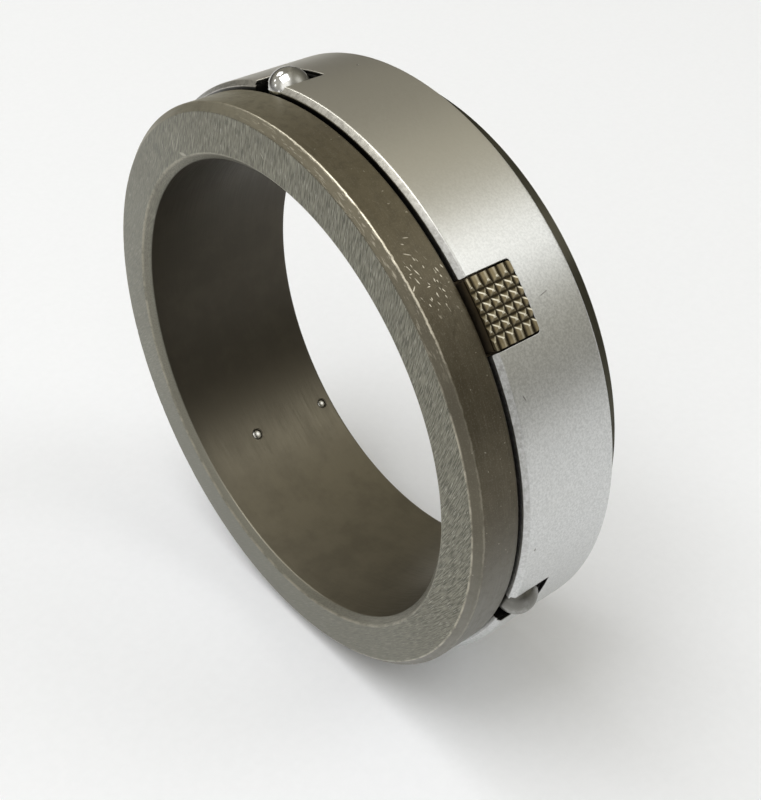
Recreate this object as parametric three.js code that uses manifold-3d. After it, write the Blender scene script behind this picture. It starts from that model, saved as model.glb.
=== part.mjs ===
// Ball-and-key winding core ring: a flanged hub that slides on a shaft, and an outer sleeve that turns a few
// degrees on it. Ramps cut in the hub push three balls and three knurled keys out through the sleeve, and they
// grip the inside of a cardboard core. Millimetres. The axis of the ring is Y, the flange's front face is at
// y = 0, +Y runs towards the back and +Z is up. Angles are measured from +X towards +Z.
import * as THREE from 'three';
import { mergeVertices } from 'three/addons/utils/BufferGeometryUtils.js';
import Module from 'manifold-3d';

const wasm = await Module();
wasm.setup();

// ---- Driving dimensions -------------------------------------------------------------------------------------

const TOTAL_WIDTH = 23;
const BORE_RADIUS = 30;
const BORE_CHAMFER = 0.95;

const FLANGE_RADIUS = 36.7;
const FLANGE_WIDTH = 5.95;
const FLANGE_ROUNDING = 1.1;

const JOURNAL_RADIUS = 34.3;
const TAIL_RADIUS = 32.6;

const SLEEVE_RADIUS = 37.6;
const SLEEVE_BORE_RADIUS = 34.4;
const SLEEVE_FRONT = 6.25;
const SLEEVE_BACK = 19.55;
const SLEEVE_FRONT_CHAMFER = 0.55;
const SLEEVE_BACK_CHAMFER = 0.3;

const REAR_RING_RADIUS = 34.8;
const REAR_RING_BORE_RADIUS = 32.75;
const REAR_RING_FRONT = 19.85;
const REAR_RING_CHAMFER = 0.3;

// The sleeve turns from its lowest lift to its highest, counted from the position modelled.
const COPIES = 3;
const TURN_BACK = 6.5;
const TURN_ON = 1;
const KEY_ANGLE = 40.6;
const BALL_ANGLE = 100.8;
const STOP_PIN_ANGLE = 109;
const SPRING_ANGLE = KEY_ANGLE + 30;

const BALL_RADIUS = 2.58;
const BALL_CENTRE_RADIUS = 36.2;
const BALL_Y = 9.1;
const BALL_LIFT_PER_DEGREE = 0.14;
const BALL_CLEARANCE = 0.05;
const SLOT_WIDTH = 4.9;
const SLOT_BACK = 11.8;
const SLOT_RECESS = 0.35;
const SLOT_LIP_RADIUS = 37.15;

const KEY_WIDTH = 7.85;
const KEY_FRONT = 6.35;
const KEY_BACK = 12.4;
const KEY_TOP_RADIUS = 38;
const KEY_LIFT_PER_DEGREE = 0.1;
const KEY_WINDOW_GAP = 0.2;
const KNURL_PITCH = 1.2;
const KNURL_DEPTH = 0.45;
const KNURL_GROOVES = 5;
const KNURL_Y = 9.58;

const FOOT_WIDTH = 10.2;
const FOOT_BACK = 13.9;
const FOOT_INNER_RADIUS = 34.75;
const FOOT_OUTER_RADIUS = 35.65;
const FOOT_ROOF_RADIUS = 36.2;
const HEEL_WIDTH = 3.6;
const HEEL_FRONT = 7.6;
const HEEL_BACK = 11.4;
const HEEL_RADIUS = 33.7;

const STOP_PIN_RADIUS = 0.7;
const STOP_PIN_Y = 9.5;
const STOP_PIN_TOP = 35.6;
const RING_PIN_RADIUS = 0.6;
const RING_PIN_Y = 21.3;
const RING_PIN_TOP = 34.65;
const PIN_BOTTOM = 30.12;
const PIN_GAP = 0.04;

const COIL_RADIUS = 1.05;
const COIL_WIRE_RADIUS = 0.22;
const COIL_TURNS = 7;
const COIL_HALF_ANGLE = 12;
const COIL_CENTRE_RADIUS = 34.35;
const COIL_Y = 16.5;
const COIL_POCKET_GAP = 0.15;

const LEAF_LENGTH = 9;
const LEAF_WIDTH = 0.8;
const LEAF_THICKNESS = 0.15;

const RING_SEGMENTS = 72;
const CUT_MARGIN = 1;

const DEGREE = Math.PI / 180;
const UP = 90;

// ---- Materials ----------------------------------------------------------------------------------------------

const steel = (name, color, roughness) => {
  const material = new THREE.MeshStandardMaterial({ color, roughness, metalness: 1 });
  material.name = name;
  return material;
};

const GROUND_STEEL = steel('ground_steel', 0x6f6c62, 0.42);
const SATIN_STEEL = steel('satin_steel', 0xa9aba8, 0.38);
const DARK_STEEL = steel('dark_steel', 0x3b382f, 0.5);
const POLISHED_STEEL = steel('polished_steel', 0xd6d6d4, 0.08);
const BRONZED_STEEL = steel('bronzed_steel', 0x5a4e38, 0.45);
const SPRING_STEEL = steel('spring_steel', 0x80807c, 0.35);

// ---- Solids -------------------------------------------------------------------------------------------------

// A closed geometry as a solid that can be joined and cut.
function solidOf(geometry) {
  const bare = new THREE.BufferGeometry();
  bare.setAttribute('position', geometry.getAttribute('position').clone());
  if (geometry.index) bare.setIndex(geometry.index.clone());
  const merged = mergeVertices(bare, 1e-4);
  return new wasm.Manifold(new wasm.Mesh({
    numProp: 3,
    vertProperties: new Float32Array(merged.getAttribute('position').array),
    triVerts: new Uint32Array(merged.index.array),
  }));
}

function geometryOf(solid) {
  const { vertProperties, triVerts } = solid.getMesh();
  const geometry = new THREE.BufferGeometry();
  geometry.setAttribute('position', new THREE.BufferAttribute(vertProperties, 3));
  geometry.setIndex(new THREE.BufferAttribute(triVerts, 1));
  geometry.computeVertexNormals();
  return geometry;
}

const join = (solids) => solids.reduce((sum, solid) => sum.add(solid));
const cut = (body, cutters) => cutters.reduce((rest, cutter) => rest.subtract(cutter), body);
const anglesFrom = (first) => Array.from({ length: COPIES }, (_, i) => first + (i * 360) / COPIES);

// Turns a geometry made at the top of the ring, along +Z, to an angle round it.
const turnedTo = (geometry, angle) => geometry.clone().rotateY((UP - angle) * DEGREE);
const solidsAt = (geometry, angles) => angles.map((angle) => solidOf(turnedTo(geometry, angle)));

// A ring from its section: [radius, y] corners, going up its outside and down its bore.
function ringOf(corners) {
  const points = [...corners, corners[0]].map(([radius, y]) => new THREE.Vector2(radius, y));
  return new THREE.LatheGeometry(points, RING_SEGMENTS);
}

// A block at the top of the ring, from an outline in x and z, between two places along the axis.
function blockOf(outline, front, back) {
  const shape = new THREE.Shape(outline.map(([x, z]) => new THREE.Vector2(x, z)));
  const geometry = new THREE.ExtrudeGeometry(shape, { depth: back - front, bevelEnabled: false });
  return geometry.rotateX(90 * DEGREE).translate(0, back, 0);
}

const box = (halfWidth, low, high, front, back) => blockOf(
  [[-halfWidth, low], [halfWidth, low], [halfWidth, high], [-halfWidth, high]],
  front,
  back,
);

// Points of a curve round the axis, one a degree or so, from an angle left of the top to an angle right of it.
// Angles here are counted from the top, positive towards +X, and the radius may change along the curve.
function arcPoints(from, to, radiusAt, step = 2.5) {
  const count = Math.max(2, Math.ceil(Math.abs(to - from) / step));
  return Array.from({ length: count + 1 }, (_, i) => {
    const angle = from + ((to - from) * i) / count;
    const radius = radiusAt(angle);
    return [radius * Math.sin(angle * DEGREE), radius * Math.cos(angle * DEGREE)];
  });
}

// A block between two curves round the axis.
const arcBlock = (from, to, innerAt, outerAt, front, back) => blockOf(
  [...arcPoints(from, to, innerAt), ...arcPoints(to, from, outerAt)],
  front,
  back,
);

// A radial round bar at the top of the ring.
function barOf(radius, low, high, y, segments = 16) {
  const bar = new THREE.CylinderGeometry(radius, radius, high - low, segments);
  return bar.rotateX(90 * DEGREE).translate(0, y, (low + high) / 2);
}

const halfAngle = (width, radius) => Math.asin(width / 2 / radius) / DEGREE;

// ---- Ramps in the hub ---------------------------------------------------------------------------------------

// The sleeve carries a follower round the hub by turn degrees, towards larger angles. Counted from the top and
// positive towards +X that is towards smaller angles, so a ramp rises towards -X.
const rampPocket = (lowEnd, highEnd, floorAt, front, back) => arcBlock(
  -highEnd,
  lowEnd,
  (angle) => floorAt(-angle),
  () => JOURNAL_RADIUS + CUT_MARGIN,
  front,
  back,
);

function ballRamp() {
  const slope = Math.atan(BALL_LIFT_PER_DEGREE / (BALL_CENTRE_RADIUS * DEGREE));
  const reach = BALL_RADIUS / Math.cos(slope) + BALL_CLEARANCE;
  const floorAt = (turn) => BALL_CENTRE_RADIUS - reach + BALL_LIFT_PER_DEGREE * Math.max(turn, -TURN_BACK - 1.5);
  const runOut = (JOURNAL_RADIUS - floorAt(0)) / BALL_LIFT_PER_DEGREE;
  const lowEnd = TURN_BACK + halfAngle(2 * BALL_RADIUS + 0.3, BALL_CENTRE_RADIUS - 1);
  const halfLength = BALL_RADIUS + 2 * BALL_CLEARANCE;
  return rampPocket(lowEnd, runOut, floorAt, BALL_Y - halfLength, BALL_Y + halfLength);
}

function keyRamp() {
  const heel = halfAngle(HEEL_WIDTH, HEEL_RADIUS);
  const floorAt = (turn) => HEEL_RADIUS - BALL_CLEARANCE
    + KEY_LIFT_PER_DEGREE * Math.max(turn, -TURN_BACK - heel - 0.5);
  const runOut = TURN_ON + heel + 0.8;
  return rampPocket(TURN_BACK + heel + 0.8, runOut, floorAt, HEEL_FRONT - 0.2, HEEL_BACK + 0.2);
}

// Room under the key's foot, which sinks below the journal when the key is drawn in.
function footRelief() {
  const floor = FOOT_INNER_RADIUS - KEY_LIFT_PER_DEGREE * TURN_BACK - 0.4;
  const foot = halfAngle(FOOT_WIDTH, FOOT_INNER_RADIUS) + 0.8;
  return rampPocket(TURN_BACK + foot, TURN_ON + foot, () => floor, FLANGE_WIDTH + 0.1, FOOT_BACK + 0.3);
}

// ---- Return spring pockets, half in the hub and half in the sleeve --------------------------------------------

const COIL_REACH = COIL_RADIUS + COIL_WIRE_RADIUS + COIL_POCKET_GAP;
const COIL_POCKET_HALF_ANGLE = COIL_HALF_ANGLE + 0.9;

const coilPocket = () => arcBlock(
  -COIL_POCKET_HALF_ANGLE,
  COIL_POCKET_HALF_ANGLE,
  () => COIL_CENTRE_RADIUS - COIL_REACH,
  () => COIL_CENTRE_RADIUS + COIL_REACH,
  COIL_Y - COIL_REACH,
  COIL_Y + COIL_REACH,
);

// ---- Sub-parts ----------------------------------------------------------------------------------------------

function hubFlange() {
  const outerRound = FLANGE_ROUNDING * 0.3;
  const shoulder = REAR_RING_FRONT - 0.15;
  const blank = ringOf([
    [BORE_RADIUS + BORE_CHAMFER, 0],
    [FLANGE_RADIUS - FLANGE_ROUNDING, 0],
    [FLANGE_RADIUS - outerRound, outerRound],
    [FLANGE_RADIUS, FLANGE_ROUNDING],
    [FLANGE_RADIUS, FLANGE_WIDTH - 0.3],
    [FLANGE_RADIUS - 0.3, FLANGE_WIDTH],
    [JOURNAL_RADIUS, FLANGE_WIDTH],
    [JOURNAL_RADIUS, shoulder],
    [TAIL_RADIUS, shoulder],
    [TAIL_RADIUS, TOTAL_WIDTH - 0.3],
    [TAIL_RADIUS - 0.3, TOTAL_WIDTH],
    [BORE_RADIUS + 0.4, TOTAL_WIDTH],
    [BORE_RADIUS, TOTAL_WIDTH - 0.4],
    [BORE_RADIUS, BORE_CHAMFER],
  ]);
  const stopHole = barOf(STOP_PIN_RADIUS + PIN_GAP, BORE_RADIUS - 1, JOURNAL_RADIUS + 1, STOP_PIN_Y);
  const ringPinHole = barOf(RING_PIN_RADIUS + PIN_GAP, BORE_RADIUS - 1, TAIL_RADIUS + 1, RING_PIN_Y);
  return cut(solidOf(blank), [
    ...solidsAt(ballRamp(), anglesFrom(BALL_ANGLE)),
    ...solidsAt(keyRamp(), anglesFrom(KEY_ANGLE)),
    ...solidsAt(footRelief(), anglesFrom(KEY_ANGLE)),
    ...solidsAt(coilPocket(), anglesFrom(SPRING_ANGLE)),
    ...solidsAt(stopHole, anglesFrom(STOP_PIN_ANGLE)),
    ...solidsAt(ringPinHole, anglesFrom(STOP_PIN_ANGLE)),
  ]);
}

// Slot for a ball, open at the sleeve's front. Its outer part is wider than the ball; the lips below are
// narrower and are hollowed to the ball's own shape, so that they keep it in.
function ballSlot() {
  const highest = BALL_CENTRE_RADIUS + BALL_LIFT_PER_DEGREE * TURN_ON;
  const pocketRadius = BALL_RADIUS + BALL_CLEARANCE;
  const half = SLOT_WIDTH / 2;
  const low = SLEEVE_BORE_RADIUS - CUT_MARGIN;
  const top = SLEEVE_RADIUS + CUT_MARGIN;
  const front = SLEEVE_FRONT - CUT_MARGIN;
  return join([
    solidOf(box(half, low, top, front, SLOT_BACK)),
    solidOf(box(half + SLOT_RECESS, SLOT_LIP_RADIUS, top, front, SLOT_BACK + SLOT_RECESS)),
    solidOf(barOf(pocketRadius, low, highest, BALL_Y, 24)),
    solidOf(new THREE.SphereGeometry(pocketRadius, 24, 16).translate(0, BALL_Y, highest)),
  ]);
}

function keyWindow() {
  const low = SLEEVE_BORE_RADIUS - CUT_MARGIN;
  const front = SLEEVE_FRONT - CUT_MARGIN;
  const opening = box(
    KEY_WIDTH / 2 + KEY_WINDOW_GAP,
    low,
    SLEEVE_RADIUS + CUT_MARGIN,
    front,
    KEY_BACK + KEY_WINDOW_GAP,
  );
  const foot = halfAngle(FOOT_WIDTH, FOOT_INNER_RADIUS) + 0.4;
  const chamber = arcBlock(-foot, foot, () => low, () => FOOT_ROOF_RADIUS, front, FOOT_BACK + 0.3);
  return solidOf(opening).add(solidOf(chamber));
}

// Blind slot in the sleeve's bore that the stop pin runs in. Its ends are the ends of the sleeve's turn.
function stopSlot() {
  const pin = halfAngle(2 * STOP_PIN_RADIUS, JOURNAL_RADIUS) + 0.25;
  const low = SLEEVE_BORE_RADIUS - CUT_MARGIN;
  const halfLength = STOP_PIN_RADIUS + 0.2;
  return arcBlock(
    -(TURN_BACK + pin),
    TURN_ON + pin,
    () => low,
    () => STOP_PIN_TOP + 0.3,
    STOP_PIN_Y - halfLength,
    STOP_PIN_Y + halfLength,
  );
}

function ballSleeve() {
  const blank = ringOf([
    [SLEEVE_BORE_RADIUS, SLEEVE_FRONT + 0.2],
    [SLEEVE_BORE_RADIUS + 0.2, SLEEVE_FRONT],
    [SLEEVE_RADIUS - SLEEVE_FRONT_CHAMFER, SLEEVE_FRONT],
    [SLEEVE_RADIUS, SLEEVE_FRONT + SLEEVE_FRONT_CHAMFER],
    [SLEEVE_RADIUS, SLEEVE_BACK - SLEEVE_BACK_CHAMFER],
    [SLEEVE_RADIUS - SLEEVE_BACK_CHAMFER, SLEEVE_BACK],
    [SLEEVE_BORE_RADIUS + 0.2, SLEEVE_BACK],
    [SLEEVE_BORE_RADIUS, SLEEVE_BACK - 0.2],
  ]);
  const slot = ballSlot();
  const window = keyWindow();
  const about = (angle) => [0, UP - angle, 0];
  return cut(solidOf(blank), [
    ...anglesFrom(BALL_ANGLE).map((angle) => slot.rotate(about(angle))),
    ...anglesFrom(KEY_ANGLE).map((angle) => window.rotate(about(angle))),
    ...solidsAt(stopSlot(), anglesFrom(STOP_PIN_ANGLE)),
    ...solidsAt(coilPocket(), anglesFrom(SPRING_ANGLE)),
  ]);
}

function rearRing() {
  const blank = ringOf([
    [REAR_RING_BORE_RADIUS, REAR_RING_FRONT],
    [REAR_RING_RADIUS, REAR_RING_FRONT],
    [REAR_RING_RADIUS, TOTAL_WIDTH - REAR_RING_CHAMFER],
    [REAR_RING_RADIUS - REAR_RING_CHAMFER, TOTAL_WIDTH],
    [REAR_RING_BORE_RADIUS, TOTAL_WIDTH],
  ]);
  const pinHole = barOf(
    RING_PIN_RADIUS + PIN_GAP,
    REAR_RING_BORE_RADIUS - 1,
    REAR_RING_RADIUS + 1,
    RING_PIN_Y,
  );
  return cut(solidOf(blank), solidsAt(pinHole, anglesFrom(STOP_PIN_ANGLE)));
}

// Knurled key: head, T-shaped foot that keeps it under the sleeve, and a heel that slides on the hub's ramp.
function gripKey() {
  const head = halfAngle(KEY_WIDTH, KEY_TOP_RADIUS);
  const side = KEY_WIDTH / 2;
  const foot = halfAngle(FOOT_WIDTH, FOOT_INNER_RADIUS);
  const heel = halfAngle(HEEL_WIDTH, HEEL_RADIUS);
  const blank = join([
    solidOf(blockOf(
      [[-side, FOOT_INNER_RADIUS], [side, FOOT_INNER_RADIUS], ...arcPoints(head, -head, () => KEY_TOP_RADIUS)],
      KEY_FRONT,
      KEY_BACK,
    )),
    solidOf(arcBlock(-foot, foot, () => FOOT_INNER_RADIUS, () => FOOT_OUTER_RADIUS, KEY_FRONT, FOOT_BACK)),
    solidOf(arcBlock(
      -heel,
      heel,
      (angle) => HEEL_RADIUS - KEY_LIFT_PER_DEGREE * angle,
      () => FOOT_INNER_RADIUS + 0.3,
      HEEL_FRONT,
      HEEL_BACK,
    )),
  ]);
  return cut(blank, knurlGrooves());
}

// V grooves of the square knurl: a row along the axis and a row round the ring.
function knurlGrooves() {
  const halfOpening = (KNURL_PITCH / 2) * ((KNURL_DEPTH + CUT_MARGIN) / KNURL_DEPTH);
  const root = KEY_TOP_RADIUS - KNURL_DEPTH;
  const vee = [[0, root], [halfOpening, KEY_TOP_RADIUS + CUT_MARGIN], [-halfOpening, KEY_TOP_RADIUS + CUT_MARGIN]];
  const along = blockOf(vee, KEY_FRONT - CUT_MARGIN, KEY_BACK + CUT_MARGIN);
  const middle = (KNURL_GROOVES - 1) / 2;
  const pitchAngle = KNURL_PITCH / KEY_TOP_RADIUS / DEGREE;
  const grooves = [];
  for (let i = 0; i < KNURL_GROOVES; i += 1) {
    const offset = i - middle;
    grooves.push(solidOf(turnedTo(along, UP + offset * pitchAngle)));
    grooves.push(solidOf(grooveRound(vee, KNURL_Y + offset * KNURL_PITCH)));
  }
  return grooves;
}

// One V groove that runs round the ring across the key's top.
function grooveRound(vee, y) {
  const points = [...vee, vee[0]].map(([across, radius]) => new THREE.Vector2(radius, y + across));
  const sweep = 2 * halfAngle(KEY_WIDTH + 2, KEY_TOP_RADIUS) * DEGREE;
  return closedSweep(points, sweep);
}

// A lathe sweep over part of a turn, centred on the top of the ring, with its two ends closed.
function closedSweep(points, sweep, steps = 6) {
  const corners = points.slice(0, -1);
  const positions = [];
  const faces = [];
  for (let step = 0; step <= steps; step += 1) {
    const angle = sweep * (step / steps - 0.5);
    corners.forEach((corner) => {
      positions.push(corner.x * Math.sin(angle), corner.y, corner.x * Math.cos(angle));
    });
  }
  const size = corners.length;
  for (let step = 0; step < steps; step += 1) {
    for (let i = 0; i < size; i += 1) {
      const a = step * size + i;
      const b = step * size + ((i + 1) % size);
      faces.push(a, b, a + size, b, b + size, a + size);
    }
  }
  for (let i = 1; i < size - 1; i += 1) {
    faces.push(0, i + 1, i);
    faces.push(steps * size, steps * size + i, steps * size + i + 1);
  }
  const geometry = new THREE.BufferGeometry();
  geometry.setAttribute('position', new THREE.Float32BufferAttribute(positions, 3));
  geometry.setIndex(faces);
  return geometry;
}

const ball = () => new THREE.SphereGeometry(BALL_RADIUS, 20, 14).translate(0, BALL_Y, BALL_CENTRE_RADIUS);
const stopPin = () => barOf(STOP_PIN_RADIUS, PIN_BOTTOM, STOP_PIN_TOP, STOP_PIN_Y);
const ringPin = () => barOf(RING_PIN_RADIUS, PIN_BOTTOM, RING_PIN_TOP, RING_PIN_Y);

// Bowed strip between the chamber's roof and the back of the key's foot.
function keySpring() {
  const ends = FOOT_ROOF_RADIUS - 0.3;
  const middle = FOOT_OUTER_RADIUS + LEAF_THICKNESS + 0.15;
  const half = LEAF_LENGTH / 2;
  const endHeight = Math.sqrt(ends ** 2 - half ** 2);
  const steps = 8;
  const curve = Array.from({ length: steps + 1 }, (_, i) => {
    const x = half * ((2 * i) / steps - 1);
    return [x, middle + (endHeight - middle) * (x / half) ** 2];
  });
  const underside = curve.map(([x, z]) => [x, z - LEAF_THICKNESS]);
  const front = KEY_BACK + 0.35;
  return blockOf([...underside, ...curve.reverse()], front, front + LEAF_WIDTH);
}

// Centre line of a coil spring bent to the ring's own curve.
class CoilLine extends THREE.Curve {
  getPoint(t, target = new THREE.Vector3()) {
    const angle = COIL_HALF_ANGLE * (2 * t - 1) * DEGREE;
    const phase = 2 * Math.PI * COIL_TURNS * t;
    const radius = COIL_CENTRE_RADIUS + COIL_RADIUS * Math.cos(phase);
    return target.set(radius * Math.sin(angle), COIL_Y + COIL_RADIUS * Math.sin(phase), radius * Math.cos(angle));
  }
}

function returnSpring() {
  const sides = 6;
  const section = new THREE.Shape(Array.from({ length: sides }, (_, i) => {
    const angle = (2 * Math.PI * i) / sides;
    return new THREE.Vector2(COIL_WIRE_RADIUS * Math.cos(angle), COIL_WIRE_RADIUS * Math.sin(angle));
  }));
  return new THREE.ExtrudeGeometry(section, {
    steps: COIL_TURNS * 8,
    extrudePath: new CoilLine(),
    bevelEnabled: false,
  });
}

// ---- Assembly -----------------------------------------------------------------------------------------------

const ring = new THREE.Group();

function place(name, geometry, material, angle = UP) {
  const mesh = new THREE.Mesh(geometry, material);
  mesh.name = name;
  mesh.rotation.y = (UP - angle) * DEGREE;
  ring.add(mesh);
}

// The same sub-part at each of its places round the ring.
function placeCopies(name, geometry, material, firstAngle) {
  anglesFrom(firstAngle).forEach((angle, i) => place(`${name}_${i + 1}`, geometry, material, angle));
}

place('hub_flange', geometryOf(hubFlange()), GROUND_STEEL);
place('ball_sleeve', geometryOf(ballSleeve()), SATIN_STEEL);
place('rear_ring', geometryOf(rearRing()), DARK_STEEL);
placeCopies('ball', ball(), POLISHED_STEEL, BALL_ANGLE);
placeCopies('grip_key', geometryOf(gripKey()), BRONZED_STEEL, KEY_ANGLE);
placeCopies('key_spring', keySpring(), SPRING_STEEL, KEY_ANGLE);
placeCopies('return_spring', returnSpring(), SPRING_STEEL, SPRING_ANGLE);
placeCopies('stop_pin', stopPin(), POLISHED_STEEL, STOP_PIN_ANGLE);
placeCopies('ring_pin', ringPin(), POLISHED_STEEL, STOP_PIN_ANGLE);

export default ring;
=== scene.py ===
"""Looks of the ball-and-key winding core ring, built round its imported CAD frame. Blender 4.5.

Lengths below are in millimetres in the ring's own frame: the axis is Y, the flange's front face is at y = 0,
+Z is up, and angles run from +X towards +Z. Meshes are scaled to metres when they are made.
"""

import math

import bmesh
import bpy
import numpy as np
from mathutils import Matrix, Vector


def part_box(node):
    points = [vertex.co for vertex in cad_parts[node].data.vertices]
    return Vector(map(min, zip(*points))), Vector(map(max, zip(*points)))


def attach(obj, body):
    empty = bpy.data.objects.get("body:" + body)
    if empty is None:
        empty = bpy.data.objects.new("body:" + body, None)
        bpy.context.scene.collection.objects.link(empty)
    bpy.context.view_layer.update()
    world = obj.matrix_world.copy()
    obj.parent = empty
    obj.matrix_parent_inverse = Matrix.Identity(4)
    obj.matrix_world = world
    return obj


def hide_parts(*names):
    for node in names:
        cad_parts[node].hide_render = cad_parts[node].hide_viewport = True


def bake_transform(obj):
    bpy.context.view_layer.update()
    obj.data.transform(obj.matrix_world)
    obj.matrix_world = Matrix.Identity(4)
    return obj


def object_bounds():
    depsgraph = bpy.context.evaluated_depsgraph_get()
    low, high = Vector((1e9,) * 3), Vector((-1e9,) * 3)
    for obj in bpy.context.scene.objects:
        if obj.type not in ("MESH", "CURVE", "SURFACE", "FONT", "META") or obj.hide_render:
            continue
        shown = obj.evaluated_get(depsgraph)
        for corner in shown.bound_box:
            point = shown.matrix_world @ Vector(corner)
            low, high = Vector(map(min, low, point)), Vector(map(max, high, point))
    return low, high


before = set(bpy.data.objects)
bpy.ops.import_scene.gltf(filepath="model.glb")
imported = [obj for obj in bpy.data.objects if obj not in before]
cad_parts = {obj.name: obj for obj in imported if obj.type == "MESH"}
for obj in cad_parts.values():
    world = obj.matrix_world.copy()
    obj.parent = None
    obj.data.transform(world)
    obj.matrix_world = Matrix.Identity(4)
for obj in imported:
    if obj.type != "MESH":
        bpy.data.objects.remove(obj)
CAD_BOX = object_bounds()

MM = 0.001
COPIES = 3
TOP = 90.0


def size_of(node):
    """Outer radius, front and back of a round CAD node, in millimetres."""
    low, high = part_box(node)
    return high.x / MM, low.y / MM, high.y / MM


# ---- Dimensions, from the frame and from the CAD model's own driving values ------------------

FLANGE_RADIUS, _, TOTAL_WIDTH = size_of("hub_flange")
SLEEVE_RADIUS, SLEEVE_FRONT, SLEEVE_BACK = size_of("ball_sleeve")
REAR_RING_RADIUS, REAR_RING_FRONT, _ = size_of("rear_ring")

BORE_RADIUS = 30.0
FLANGE_WIDTH = 5.95
JOURNAL_RADIUS = 34.3
TAIL_RADIUS = 32.6
SLEEVE_BORE_RADIUS = 34.4
REAR_RING_BORE_RADIUS = 32.75
BORE_CHAMFER = 0.95
RIM_CHAMFER = 0.95
REAR_RING_CHAMFER = 0.3

TURN_BACK = 6.5
TURN_ON = 1.0
KEY_ANGLE = 40.6
BALL_ANGLE = 100.8
PIN_ANGLE = 109.0
SPRING_ANGLE = KEY_ANGLE + 30

BALL_RADIUS = 2.58
BALL_FACETS = 0.022  # how far the flat facets of a ball this size lie inside its true sphere
BALL_CENTRE_RADIUS = 36.2
BALL_Y = 9.1
BALL_LIFT = 0.14
CLEARANCE = 0.05
SLEEVE_FRONT_CHAMFER = 0.55
SLEEVE_BACK_CHAMFER = 0.3
SLOT_HALF_WIDTH = 2.45
SLOT_BACK = 11.8
SLOT_RECESS = 0.35
SLOT_LIP_RADIUS = 37.15
EDGE_BREAK = 0.1

KEY_HALF_WIDTH = 3.925
KEY_FRONT = 6.35
KEY_BACK = 12.4
KEY_WINDOW_GAP = 0.2
KEY_TOP_RADIUS = 38.0
KEY_LIFT = 0.1
KNURL_PITCH = 1.2
KNURL_DEPTH = 0.45
KNURL_GROOVES = 5
KNURL_Y = 9.58
FOOT_HALF_WIDTH = 5.1
FOOT_BACK = 13.9
FOOT_INNER_RADIUS = 34.75
FOOT_OUTER_RADIUS = 35.65
FOOT_ROOF_RADIUS = 36.2
HEEL_HALF_WIDTH = 1.8
HEEL_FRONT = 7.6
HEEL_BACK = 11.4
HEEL_RADIUS = 33.7

STOP_PIN_RADIUS = 0.7
STOP_PIN_Y = 9.5
STOP_PIN_TOP = 35.6
RING_PIN_RADIUS = 0.6
RING_PIN_Y = 21.3
RING_PIN_TOP = 34.65
PIN_BOTTOM = 30.12
PIN_GAP = 0.04

COIL_RADIUS = 1.05
COIL_WIRE_RADIUS = 0.22
COIL_TURNS = 7
COIL_HALF_ANGLE = 11.5
COIL_POCKET_HALF_ANGLE = 12.9
COIL_CENTRE_RADIUS = 34.35
COIL_Y = 16.5
COIL_REACH = COIL_RADIUS + COIL_WIRE_RADIUS + 0.15


def angles_from(first):
    return [first + i * 360 / COPIES for i in range(COPIES)]


def half_angle(half_width, radius):
    return math.degrees(math.asin(half_width / radius))


# ---- Mesh tools ------------------------------------------------------------------------------

def link(mesh):
    """An object in the scene that shows a mesh."""
    piece = bpy.data.objects.new("piece", mesh)
    bpy.context.scene.collection.objects.link(piece)
    return piece


def new_object(vertices, faces):
    """A mesh object in metres from corners in millimetres, its faces turned outwards."""
    mesh = bpy.data.meshes.new("piece")
    mesh.from_pydata([tuple(v) for v in np.asarray(vertices) * MM], [], faces)
    solid = bmesh.new()
    solid.from_mesh(mesh)
    bmesh.ops.recalc_face_normals(solid, faces=solid.faces)
    solid.to_mesh(mesh)
    solid.free()
    return link(mesh)


def rounded_path(corners, step_at, arc_steps=6):
    """A closed path through (across, along, radius) corners, with straight stretches divided into steps.

    step_at gives the longest step allowed on a stretch, from the place of its middle.
    """
    count = len(corners)
    points = []
    for i, (a, b, radius) in enumerate(corners):
        corner = np.array([a, b])
        before = np.array(corners[i - 1][:2]) - corner
        after = np.array(corners[(i + 1) % count][:2]) - corner
        before /= np.linalg.norm(before)
        after /= np.linalg.norm(after)
        half = math.acos(max(-1.0, min(1.0, before @ after))) / 2
        if radius <= 0:
            points.append(corner)
            continue
        centre = corner + (before + after) / np.linalg.norm(before + after) * radius / math.sin(half)
        start = corner + before * radius / math.tan(half) - centre
        end = corner + after * radius / math.tan(half) - centre
        turn = math.pi - 2 * half
        for k in range(arc_steps + 1):
            t = k / arc_steps
            blend = (math.sin((1 - t) * turn) * start + math.sin(t * turn) * end) / math.sin(turn)
            points.append(centre + blend)
    path = []
    for i, point in enumerate(points):
        following = points[(i + 1) % len(points)]
        middle = (point + following) / 2
        parts = max(1, math.ceil(np.linalg.norm(following - point) / step_at(*middle)))
        path += [point + (following - point) * k / parts for k in range(parts)]
    return np.array(path)


def lathe(path, segments, worked=lambda vertices: vertices):
    """A ring turned round Y from a closed path of (radius, y) points. worked may move its corners."""
    angle = np.linspace(0, 2 * np.pi, segments, endpoint=False)
    radius, along = path[:, 0], path[:, 1]
    vertices = np.stack([
        np.outer(np.cos(angle), radius),
        np.outer(np.ones(segments), along),
        np.outer(np.sin(angle), radius),
    ], axis=-1).reshape(-1, 3)
    count = len(path)
    here = np.arange(segments * count).reshape(segments, count)
    right = np.roll(here, -1, axis=0)
    up = np.roll(here, -1, axis=1)
    both = np.roll(right, -1, axis=1)
    faces = np.stack([here, right, both, up], axis=-1).reshape(-1, 4)
    return new_object(worked(vertices), faces.tolist())


def turned_bar(path, segments, y):
    """A round bar along +Z at the top of the ring, from an open path of (radius, height) points."""
    angle = np.linspace(0, 2 * np.pi, segments, endpoint=False)
    return loft([
        np.stack([r * np.cos(angle), y + r * np.sin(angle), np.full(segments, h)], axis=-1)
        for r, h in path
    ])


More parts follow.
